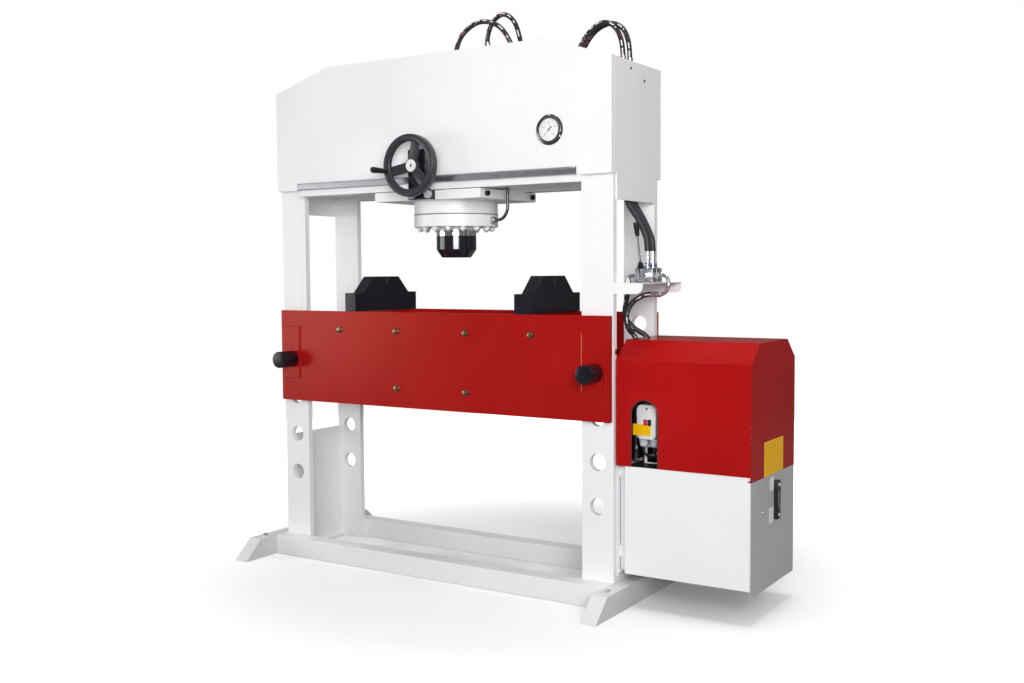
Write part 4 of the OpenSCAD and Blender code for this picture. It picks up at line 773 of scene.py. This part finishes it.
def makeNeedle(spec, needle):
    thin, half, tailHalf = needle["thin"], needle["half"], needle["tailHalf"]
    pointer = block("pointer", (0, -thin, -half), (needle["long"], thin, half), 0, local=True)
    pickFaces(pointer, lambda face: face.normal.x > facing)
    bpy.ops.transform.resize(value=(1, 1, needle["point"]))
    roundEdges(pointer, needle["edge"] * mm, 1)
    tail = block("tail", (-needle["tail"], -thin, -tailHalf), (2, thin, tailHalf), needle["edge"], 1, local=True)
    for part in (pointer, tail):
        putAt(part, at(spec["x"], spec["dial"] - needle["proud"], spec["z"]), (0, -math.radians(spec["first"]), 0))
    knob = dome("knob", (spec["x"], spec["dial"] - 0.8, spec["z"]), "-y", 11, 1.7)
    weight = dome("weight", ringPlace(spec, spec["first"] - 180, 14, spec["dial"] - 1), "-y", 9, 1.3)
    dress(pointer, needleGrey, body="gauge_needle")
    pointer.name = "gauge_pointer"
    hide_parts("gauge_needle")
    dress(joinPieces("gauge_needle_hub", [tail, knob, weight]), printBlack, body="gauge_needle")


makeGauge(gaugeSpec)
makeNeedle(gaugeSpec, needleSpec)
print("gauge made")


# Handwheel, its handle and the bracket's bolts

wheelSpec = dict(x=-40, z=1906, front=-346, deep=42, outer=141.5, rim=34, hubFront=-319, hubDeep=19, hub=34, cap=28,
                 spokes=(193, 313, 73), spokeWide=46, spokeThick=14, spokeRoot=-315, dish=18, handleRing=125,
                 handleAngle=190, handleFoot=-344)


def makeWheel(spec):
    inner, outer, deep = spec["outer"] - spec["rim"], spec["outer"], spec["deep"]
    rim = turned("rim", [
        (inner, 13), (inner + 1.2, 9), (inner + 4, 6.4), (inner + 6.5, 5.8), (inner + 8.2, 3), (inner + 15, 0.7),
        (outer - 8, 0), (outer - 3.6, 1.2), (outer - 1, 3.8), (outer, 7.5), (outer, deep - 7), (outer - 1, deep - 3.6),
        (outer - 3.6, deep - 1), (outer - 8, deep), (inner + 15, deep - 5), (inner + 5, deep - 14),
        (inner + 1.2, deep - 18), (inner, deep - 22)], (spec["x"], spec["front"], spec["z"]), "y", 96)
    cap, boss, back = spec["cap"], spec["hub"], spec["hubDeep"]
    middle = (spec["x"], spec["hubFront"], spec["z"])
    hub = turned("hub", [(0, 1), (cap + 1, 1), (cap + 1, 0), (boss - 1.4, 0), (boss, 1.4), (boss, back - 1.4),
                         (boss - 1.4, back), (0, back)], middle, "y")
    parts = [rim, hub]
    half = spec["spokeWide"] / 2
    for angle in spec["spokes"]:
        spoke = block("spoke", (16, 0, -half), (inner + 8, spec["spokeThick"], half), 0, local=True)
        pickFaces(spoke, lambda face: face.normal.x > facing)
        bpy.ops.transform.translate(value=(0, -spec["dish"] * mm, 0))
        roundEdges(spoke, 4 * mm, 3)
        parts.append(putAt(spoke, at(spec["x"], spec["spokeRoot"], spec["z"]), (0, -math.radians(angle), 0)))
    dress(joinPieces("handwheel_piece", parts), wheelPaint, ("handwheel",), body="handwheel", degrees=40)
    plate = turned("hub_cap_piece", [(6, 0), (cap - 0.6, 0), (cap, 0.8), (cap, 2), (cap - 1.4, 3.2), (7.6, 3.2),
                                     (6.5, 2.6), (6, 1.8)], middle, "-y")
    dress(plate, boltWhite, ("hub_cap",), body="handwheel")
    grip = turned("wheel_handle_piece", [
        (0, 0), (12, 0), (13.4, 1.6), (13.4, 5), (11.2, 8), (11, 12), (11.8, 36), (13.2, 66), (14.3, 86), (14, 96),
        (11.5, 101.5), (7, 104), (0, 104)],
        ringPlace(spec, spec["handleAngle"], spec["handleRing"], spec["handleFoot"]), "-y", 32)
    dress(grip, blackPlastic, ("wheel_handle",), body="wheel_handle")


makeWheel(wheelSpec)

stopSpec = dict(ends=((285, "x"), (-315, "-x")), y=(-190, 200), z=1775, diameter=24, proud=14)
stops = [socketHead("stop", (x, y, stopSpec["z"]), axis, stopSpec["diameter"], stopSpec["proud"])
         for x, axis in stopSpec["ends"] for y in stopSpec["y"]]
dress(joinPieces("carriage_stops", stops), blackPaint, ("carriage_screws",), body="carriage")

bracketBolt = dict(x=(31, -61), y=-281, z=1775, flats=36, height=16, turn=12)
bolts = [hexHead("bolt", (x, bracketBolt["y"], bracketBolt["z"]), "-y", bracketBolt["flats"], bracketBolt["height"],
                 turn=bracketBolt["turn"]) for x in bracketBolt["x"]]
dress(joinPieces("bracket_bolts", bolts), boltZinc, body="carriage")
print("handwheel and carriage screws made")


# Cylinder's nuts, studs, pipe and fittings

cylinderX, glandFace = -15, 1634  # the cylinder's axis and the lower face of its gland ring
glandSpec = dict(x=cylinderX, ring=174, count=16, z=glandFace, flats=27, nut=14, washer=31, stud=8, studLong=20)


def makeGlandNuts(spec):
    parts = []
    for i in range(spec["count"]):
        a = 2 * math.pi * i / spec["count"]
        place = (spec["x"] + spec["ring"] * math.cos(a), spec["ring"] * math.sin(a), spec["z"])
        parts.append(hexHead("nut", place, "-z", spec["flats"], spec["nut"], spec["washer"], math.degrees(a)))
        parts.append(turned("stud", disc(spec["stud"], spec["studLong"], 0, 1.5), place, "-z", 20))
    dress(joinPieces("gland_nuts", parts), boltWhite, ("gland_bolts",), body="carriage")


makeGlandNuts(glandSpec)

sealSpec = dict(x=cylinderX, ram=95, z=glandFace, wide=17, deep=14, joint=1694, body=200, line=5)


def makeSeal(spec):
    inner, outer, deep = spec["ram"], spec["ram"] + spec["wide"], spec["deep"]
    seal = turned("ram_seal_flange", [
        (inner + 0.8, 0), (outer, 0), (outer, deep - 1.6), (outer - 1.6, deep), (inner + 2, deep),
        (inner + 0.8, deep - 1.2)], (spec["x"], 0, spec["z"]), "-z", 64)
    dress(seal, boltWhite, body="carriage")
    body, line = spec["body"], spec["line"]
    # a thin dark grey ring stands in for the shadow line where the barrel meets the gland ring: painted shade
    joint = turned("cylinder_joint", [
        (body - 2, 0), (body + 0.4, 0), (body + 0.7, 0.6), (body + 0.7, line - 0.6), (body + 0.4, line),
        (body - 2, line)], (spec["x"], 0, spec["joint"]), "-z", 96)
    dress(joint, jointPaintedShade, body="carriage")


makeSeal(sealSpec)

returnRoute = [(213.5, -6, 1664), (240, -12, 1664), (262, -22, 1669), (281, -30, 1681), (294, -34, 1700),
               (299, -35, 1726), (300, -35, 1876), (291, -20, 2009), (225, 14, 2129), (151, 38, 2249),
               (145, 40, 2349), (145, 40, 2440)]
dress(tube("return_pipe_piece", returnRoute, 15), darkSteel, ("return_pipe",), body="carriage",
      degrees=60)

portSpec = dict(gland=(185, 0, 1664), collar=(202, 0, 1664), barrel=(14, -40, 2230), feed=(14, -40, 2260),
                hose=(145, 40, 2440), ferrule=28, long=56)
fittings = [
    hexHead("gland_nut", portSpec["gland"], "x", 32, 19),
    turned("gland_collar", [(0, 0), (11, 0), (11.5, 1), (11.5, 9), (10.5, 10.5), (0, 10.5)], portSpec["collar"], "x",
           32),
    hexHead("barrel_nut", portSpec["barrel"], "z", 34, 30),
    ferrule("feed_end", portSpec["feed"], "z", portSpec["ferrule"], portSpec["long"]),
    ferrule("return_end", portSpec["hose"], "z", portSpec["ferrule"], portSpec["long"])]
dress(joinPieces("cylinder_fittings_piece", fittings), zincSteel, ("cylinder_fittings",),
      body="carriage")

feedRoute = [(885, -20, 2346), (874, -20, 2420), (840, -20, 2478), (786, -22, 2498), (722, -24, 2464),
             (674, -26, 2398), (636, -30, 2290), (580, -36, 2190), (490, -40, 2150), (410, -42, 2200),
             (364, -42, 2310), (334, -41, 2440), (262, -40, 2542), (157, -40, 2574), (62, -40, 2530),
             (20, -40, 2450), (14, -40, 2360), (14, -40, 2316)]
backRoute = [(885, 45, 2346), (876, 45, 2424), (846, 44, 2482), (788, 42, 2506), (716, 40, 2478), (656, 38, 2402),
             (614, 36, 2290), (560, 36, 2180), (490, 38, 2140), (410, 40, 2190), (360, 40, 2310), (330, 40, 2470),
             (296, 40, 2570), (238, 40, 2614), (180, 40, 2590), (150, 40, 2535), (145, 40, 2496)]
hoseSpec = dict(diameter=22, bend=2400)  # start and end below mark where the hoses' bend towards the carriage would begin and be full
topHoses = {"top_hose_feed": dict(route=feedRoute, start=875, end=60),
            "top_hose_return": dict(route=backRoute, start=875, end=150)}
for node, spec in topHoses.items():
    hose = tube(node + "_piece", spec["route"], hoseSpec["diameter"], 10)
    smoothen(hose, 60)
    hose.data.materials.clear()
    hose.data.materials.append(hoseRubber)
    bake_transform(hose)
    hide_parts(node)
print("cylinder fittings and top hoses made")


# Table: pins, tie bolts and the welds of its pin pockets

pinSpec = dict(x=uprightX, front=-343.8, z=991, head=40.5, headLong=102, shank=36.7, long=589.3, groove=20)


def makePin(spec, x, name):
    head, shank, groove = spec["head"], spec["shank"], spec["groove"]
    pin = turned(name + "_piece", [
        (0, 3.5), (2.6, 0.8), (3.4, 0), (head - 5, 0), (head - 1.5, 1.2), (head, 4.5), (head, groove),
        (head - 0.8, groove + 0.8), (head - 0.8, groove + 2.2), (head, groove + 3), (head, spec["headLong"] - 3),
        (head - 2, spec["headLong"]), (shank, spec["headLong"]), (shank, spec["long"] - 3),
        (shank - 3, spec["long"]), (0, spec["long"])], (x, spec["front"], spec["z"]), "y", 64)
    dress(pin, blackPaint, (name,), body=name)


for name, x in zip(("table_pin_left", "table_pin_right"), pinSpec["x"]):
    makePin(pinSpec, x, name)

tieSpec = dict(spots=((-545, 1144), (-198, 1144), (198, 1144), (545, 1144), (-198, 873), (198, 873)),
               face=241.5, flats=25, height=12, washer=32)
ties = []
for x, z in tieSpec["spots"]:
    for side, axis in ((-1, "-y"), (1, "y")):
        ties.append(hexHead("tie", (x, side * tieSpec["face"], z), axis, tieSpec["flats"], tieSpec["height"],
                            tieSpec["washer"], x % 50))
dress(joinPieces("tie_bolt_heads", ties), brassZinc, ("tie_bolts",))

# welds, seams and a painted highlight on the front plate, a light orange line along the right pocket's left edge: both
# ends as (x, z), and a diameter
weldSpec = dict(face=-241.5, ripple=dict(depth=0.22, pitch=0.0085), steps=12)
beads = [((-808, 1156), (-812, 897), 11), ((909, 1154), (914, 905), 10)]
lines = [((-905, 1155), (-812, 1155.5), 3.2), ((-916, 891), (-814, 894), 3.2), ((812, 897), (884, 897.5), 3)]
rims = [((798, 1159), (797.5, 908), 3.4)]


def seam(name, ends, diameter, ripple=None):
    (x0, z0), (x1, z1) = ends
    steps = weldSpec["steps"]
    points = [(x0 + (x1 - x0) * i / steps, weldSpec["face"], z0 + (z1 - z0) * i / steps) for i in range(steps + 1)]
    return tube(name, points, diameter, 12 if ripple else 2, 12, ripple)  # only a ripple needs many stations


welds = [seam("bead", (a, b), d, weldSpec["ripple"]) for a, b, d in beads]
# the light orange line is a painted highlight
pocketHighlight = joinPieces("table_pocket_painted_highlight", [seam("rim", (a, b), d) for a, b, d in rims])
dress(pocketHighlight, rimPaintedHighlight, degrees=60)
dress(joinPieces("table_welds", welds), redPaint, degrees=60)
dress(joinPieces("table_seams", [seam("seam", (a, b), d) for a, b, d in lines]), seamRed, degrees=60)
print("table pins, bolts and welds made")


# Lever valve with its nuts, elbows and hoses

valveSpec = dict(x=997, pivot=(997, -68, 1402), lean=14, top=1433, feeds=((999, -14), (1005, 26)),
                 low=(955.5, 1371), high=(1038.5, 1431), sections=(-44, -2, 44), half=3.5, plug=(976, 32),
                 tieX=(965, 1029), tieY=-50, tieZ=(1380, 1424))
roundedNode("control_valve", 1.6, castSteel, "cast_valve")
(left, low), (right, high), half = valveSpec["low"], valveSpec["high"], valveSpec["half"]
collars = [block("section", (left, y - half, low), (right, y + half, high), 1.2) for y in valveSpec["sections"]]
collars += [turned("boss", disc(21, 5, 0, 1.5), (x, y, valveSpec["top"]), "z", 32) for x, y in valveSpec["feeds"]]
collars += [socketHead("tie", (x, valveSpec["tieY"], z), "-y", 12, 8)
            for x in valveSpec["tieX"] for z in valveSpec["tieZ"]]
collars += [hexHead("plug", (*valveSpec["plug"], valveSpec["top"]), "z", 22, 16)]
dress(joinPieces("valve_sections", collars), castSteel)

leverRod = turned("lever_rod", [(0, -7), (6.5, -7), (7, -2), (6.5, 8), (5, 26), (4.6, 110), (5, 200), (0, 201)],
                  valveSpec["pivot"], "z", 24, valveSpec["lean"])
leverPin = turned("lever_pin", disc(4, 48, 0.6, 0.6), (valveSpec["x"] - 24, *valveSpec["pivot"][1:]), "x", 20)
dress(joinPieces("valve_lever_piece", [leverRod, leverPin]), chromeSteel, ("valve_lever",),
      body="valve_lever")
folds = [(radius + (1.8 if i % 2 else -1.8), 31 + 4.5 * i)
         for i, radius in enumerate((16, 15.2, 14, 12.6, 11, 9.4, 8))]
boot = turned("lever_boot", [(0, 30)] + folds + [(5.4, 62), (0, 62)], valveSpec["pivot"], "z", 28, valveSpec["lean"])
dress(boot, blackPlastic, body="valve_lever")
grip = turned("lever_grip_piece", [
    (0, 172), (7.6, 172), (8.6, 173.5), (9.4, 180), (11.2, 200), (12.8, 217), (12.9, 223), (11.4, 229), (7.5, 232),
    (0, 232)], valveSpec["pivot"], "z", 28, valveSpec["lean"])
dress(grip, blackPlastic, ("lever_grip",), body="valve_lever")

nuts = [hexHead("feed_nut", (x, y, valveSpec["top"] + 2), "z", 32, 20, 0, 15) for x, y in valveSpec["feeds"]]
dress(joinPieces("feed_nuts", nuts), blueZinc)

elbowRoutes = [
    [(1061, -30, 1402), (1084, -40, 1402), (1108, -52, 1392), (1118, -60, 1364), (1108, -60, 1336),
     (1088, -60, 1322), (1070, -60, 1322)],
    [(947, -20, 1402), (926, -20, 1402), (913, -20, 1394), (910, -20, 1382)]]
dropSpec = dict(x=885, y=(-20, 45), low=1849, top=2290, radius=11)
elbowSpec = dict(rightPort=(1037, -30, 1402), leftPort=(957, -20, 1402), rightEnd=(1070, -60, 1322),
                 leftEnd=(910, -20, 1342))
pipework = [tube("elbow", route, 16, 8, 20) for route in elbowRoutes]
pipework += [hexHead("right_nut", elbowSpec["rightPort"], "x", 26, 24),
             hexHead("left_nut", elbowSpec["leftPort"], "-x", 26, 10),
             hexHead("right_collar", elbowSpec["rightEnd"], "x", 24, 12),
             ferrule("right_end", elbowSpec["rightEnd"], "-x", 26, 30, 2),
             ferrule("left_end", elbowSpec["leftEnd"], "z", 26, 40, 2)]
pipework += [ferrule("feed_end", (x, y, valveSpec["top"] + 22), "z", 23, 52) for x, y in valveSpec["feeds"]]
for y in dropSpec["y"]:
    pipework.append(turned("drop", disc(dropSpec["radius"], dropSpec["top"] - dropSpec["low"], 1),
                           (dropSpec["x"], y, dropSpec["low"]), "z", 24))
    pipework.append(ferrule("drop_end", (dropSpec["x"], y, dropSpec["top"]), "z", 28, 56))
dress(joinPieces("valve_fittings_piece", pipework), zincSteel, ("valve_fittings",))

feedHoses = [
    [(885, -20, 1849), (887, -20, 1790), (911, -20, 1712), (958, -17, 1640), (991, -14, 1566), (999, -14, 1507)],
    [(885, 45, 1849), (887, 45, 1790), (911, 45, 1712), (958, 35.5, 1640), (997, 26, 1566), (1005, 26, 1507)]]
pumpHoses = [
    [(1040, -60, 1322), (1004, -68, 1316), (966, -100, 1284), (952, -122, 1230), (957, -114, 1178), (974, -78, 1130),
     (979, -76, 1040), (975, -76, 720), (975, -76, 600)],
    [(910, -20, 1342), (908, -38, 1290), (916, -62, 1226), (952, -54, 1178), (1008, -28, 1130), (1010, -26, 1040),
     (998, -26, 720), (996, -26, 600)]]
feeds = joinPieces("feed_hoses", [tube("feed", route, 26, 10, 20) for route in feedHoses])
dress(feeds, sleeveRubber, ("valve_hoses",), degrees=60)
pumps = joinPieces("pump_hoses", [tube("pump", route, 22, 8) for route in pumpHoses])
dress(pumps, pumpRubber, degrees=60)
print("valve made")


# Power unit: starter box, painted shade along the arch, plates and level gauge

starterSpec = dict(low=(1019, -161, 713), high=(1107, -85, 859), corner=14, buttons=(1059.5, 1078.5), buttonZ=785,
                   button=(15, 25), free=0.35, pocket=16, proud=5)


def makeStarter(spec):
    low, high = spec["low"], spec["high"]
    box = block("starter_box_piece", low, high, 0)
    pickEdges(box, lambda a, b: abs(a.y - b.y) > 0.01)
    bpy.ops.mesh.bevel(offset=spec["corner"] * mm, segments=1, affect="EDGES")
    roundEdges(box, 2.2 * mm, 3)
    wide, tall = spec["button"]
    for x in spec["buttons"]:
        reach = (wide / 2 + spec["free"], tall / 2 + spec["free"])
        cutter = block("cutter", (x - reach[0], low[1] - 9, spec["buttonZ"] - reach[1]),
                       (x + reach[0], low[1] + spec["pocket"], spec["buttonZ"] + reach[1]), 0)
        cutAway(box, cutter)
    dress(box, starterPlastic, ("starter_box",))
    for name, x, finish, slot in (("stop_button", spec["buttons"][0], redPlastic, "red_plastic"),
                                  ("start_button", spec["buttons"][1], blackPlastic, "black_plastic")):
        key = block(name + "_piece", (x - wide / 2, low[1] - spec["proud"], spec["buttonZ"] - tall / 2),
                    (x + wide / 2, low[1] + 11, spec["buttonZ"] + tall / 2), 1.6, 3)
        dress(key, finish, (name,), body=name)


makeStarter(starterSpec)

glandSpots = dict(x=(1035, 1085), y=-123, top=starterSpec["low"][2], nut=38)
glands = []
for x in glandSpots["x"]:
    place = (x, glandSpots["y"], glandSpots["top"])
    glands.append(hexHead("gland_nut", place, "-z", glandSpots["nut"], 14))
    glands.append(turned("gland_cap", [(0, 12), (17, 12), (18.5, 14), (18.5, 28), (14, 35), (7, 38), (0, 38)], place,
                         "-z", 32))
dress(joinPieces("cable_glands", glands), glandPlastic)

cableRoutes = [
    [(1035, -123, 677), (1036, -119, 650), (1049, -84, 626), (1073, -40, 630), (1103, -10, 700), (1123, 0, 744),
     (1157, 0, 750)],
    [(1085, -123, 677), (1083, -119, 654), (1079, -84, 634), (1093, -52, 660), (1113, -34, 730), (1129, -30, 770),
     (1157, -30, 776)]]
cables = joinPieces("starter_cables", [tube("cable", route, 10, 8, 12) for route in cableRoutes])
dress(cables, cableGrey, degrees=60)

archSpec = dict(x=1075, radius=61, spring=823, legs=(602, 676, 750), y=-203.5)


def archPlace(spec, angle):
    a = math.radians(angle)
    return (spec["x"] + spec["radius"] * math.cos(a), spec["y"], spec["spring"] + spec["radius"] * math.sin(a))


leftLeg = [(archSpec["x"] - archSpec["radius"], archSpec["y"], z) for z in archSpec["legs"]]
rightLeg = [(archSpec["x"] + archSpec["radius"], archSpec["y"], z) for z in reversed(archSpec["legs"])]
archRoute = leftLeg + [archPlace(archSpec, angle) for angle in range(180, -1, -15)] + rightLeg
# a dark red tube round the arch's edge: painted shade of the cover sheet's edge
dress(tube("arch_edge_painted_shade", archRoute, 7, 4, 12), seamRed, degrees=60)


def blankPlate(name, low, high, face, rim):
    # a bare plate: the rim round its face in a lighter tone, nothing printed
    plate = block(name, low, high, 0)
    plate.data.materials.append(yellowPlate)
    plate.data.materials.append(yellowRim)
    pickFaces(plate, lambda side: side.normal.dot(Vector(face)) > facing)
    bpy.ops.mesh.inset(thickness=rim * mm, depth=0)
    objectMode()
    for side in plate.data.polygons:
        side.material_index = 0 if side.select else 1
    dress(plate, None)


tankSide, crownSide = 1540, 942  # the right-hand faces of the tank and of the crown
blankSpecs = {
    "side_plate_blank": dict(low=(tankSide, -52, 579), high=(tankSide + 1.2, 174, 722), face=(1, 0, 0), rim=4),
    "starter_plate_blank": dict(low=(1002, -162.4, 729), high=(1084, -161, 777), face=(0, -1, 0), rim=2)}
for name, spec in blankSpecs.items():
    blankPlate(name, **spec)

sightSpec = dict(y=(65, 95), z=(385.5, 548.5), bolts=(403.5, 530.5), thick=19, glass=(432, 502), plug=(-65, 436),
                 frame=7, squeeze=0.62, step=0.8, sunk=4, edge=1.6)
(near, far), (low, high) = sightSpec["y"], sightSpec["z"]
middle, front = (near + far) / 2, tankSide + sightSpec["thick"]
sight = block("level_gauge_piece", (tankSide, near, low), (front, far, high), 0)
pickFaces(sight, lambda face: face.normal.x > facing)
bpy.ops.mesh.inset(thickness=sightSpec["frame"] * mm, depth=0)
bpy.ops.transform.resize(value=(1, 1, sightSpec["squeeze"]))
bpy.ops.mesh.inset(thickness=sightSpec["step"] * mm, depth=-sightSpec["sunk"] * mm)
roundEdges(sight, sightSpec["edge"] * mm, 2, 50)
dress(sight, blackPlastic, ("level_gauge",))
sightBolts = [dome("banjo", (front, middle, z), "x", 18, 6) for z in sightSpec["bolts"]]
sightBolts += [dome("plug", (tankSide, *sightSpec["plug"]), "x", 14, 5)]
dress(joinPieces("level_gauge_bolts", sightBolts), zincSteel)
low, high = sightSpec["glass"]
dress(block("level_window", (front - 4, middle - 5, low), (front - 2.4, middle + 5, high), 0.5), glandPlastic)
pads = [block("pad", (tankSide, y, low), (tankSide + 1, 63, high), 0.3, 1)
        for y, low, high in ((18, 509, 566), (12, 376, 441))]
dress(joinPieces("level_pads", pads), whitePaint)

screwSpots = [((1065, -161, 843), "-y", 9), ((crownSide, -63, 2282), "x", 13), ((crownSide, 68, 2245), "x", 13),
              ((1532, -202, 584), "-y", 9), ((tankSide, -187, 583), "x", 10), ((tankSide, 305, 583), "x", 10)]
dress(joinPieces("small_screws", [dome("screw", place, axis, d, d * 0.35) for place, axis, d in screwSpots]), darkSteel)
bracketScrews = [hexHead("screw", (crownSide, -174, z), "x", 15, 8, 20) for z in (553, 139)]
dress(joinPieces("bracket_screws", bracketScrews), boltWhite)

# a folded strip that closes the gap between the tank and its bracket
stripSpec = dict(low=(941, -160, 142), face=(985, -155, 598), fold=(946, -148, 598))
strip = [block(side, stripSpec["low"], stripSpec[side], 1.2) for side in ("face", "fold")]
dress(joinPieces("tank_gap_strip", strip), whitePaint)
print("power unit made")
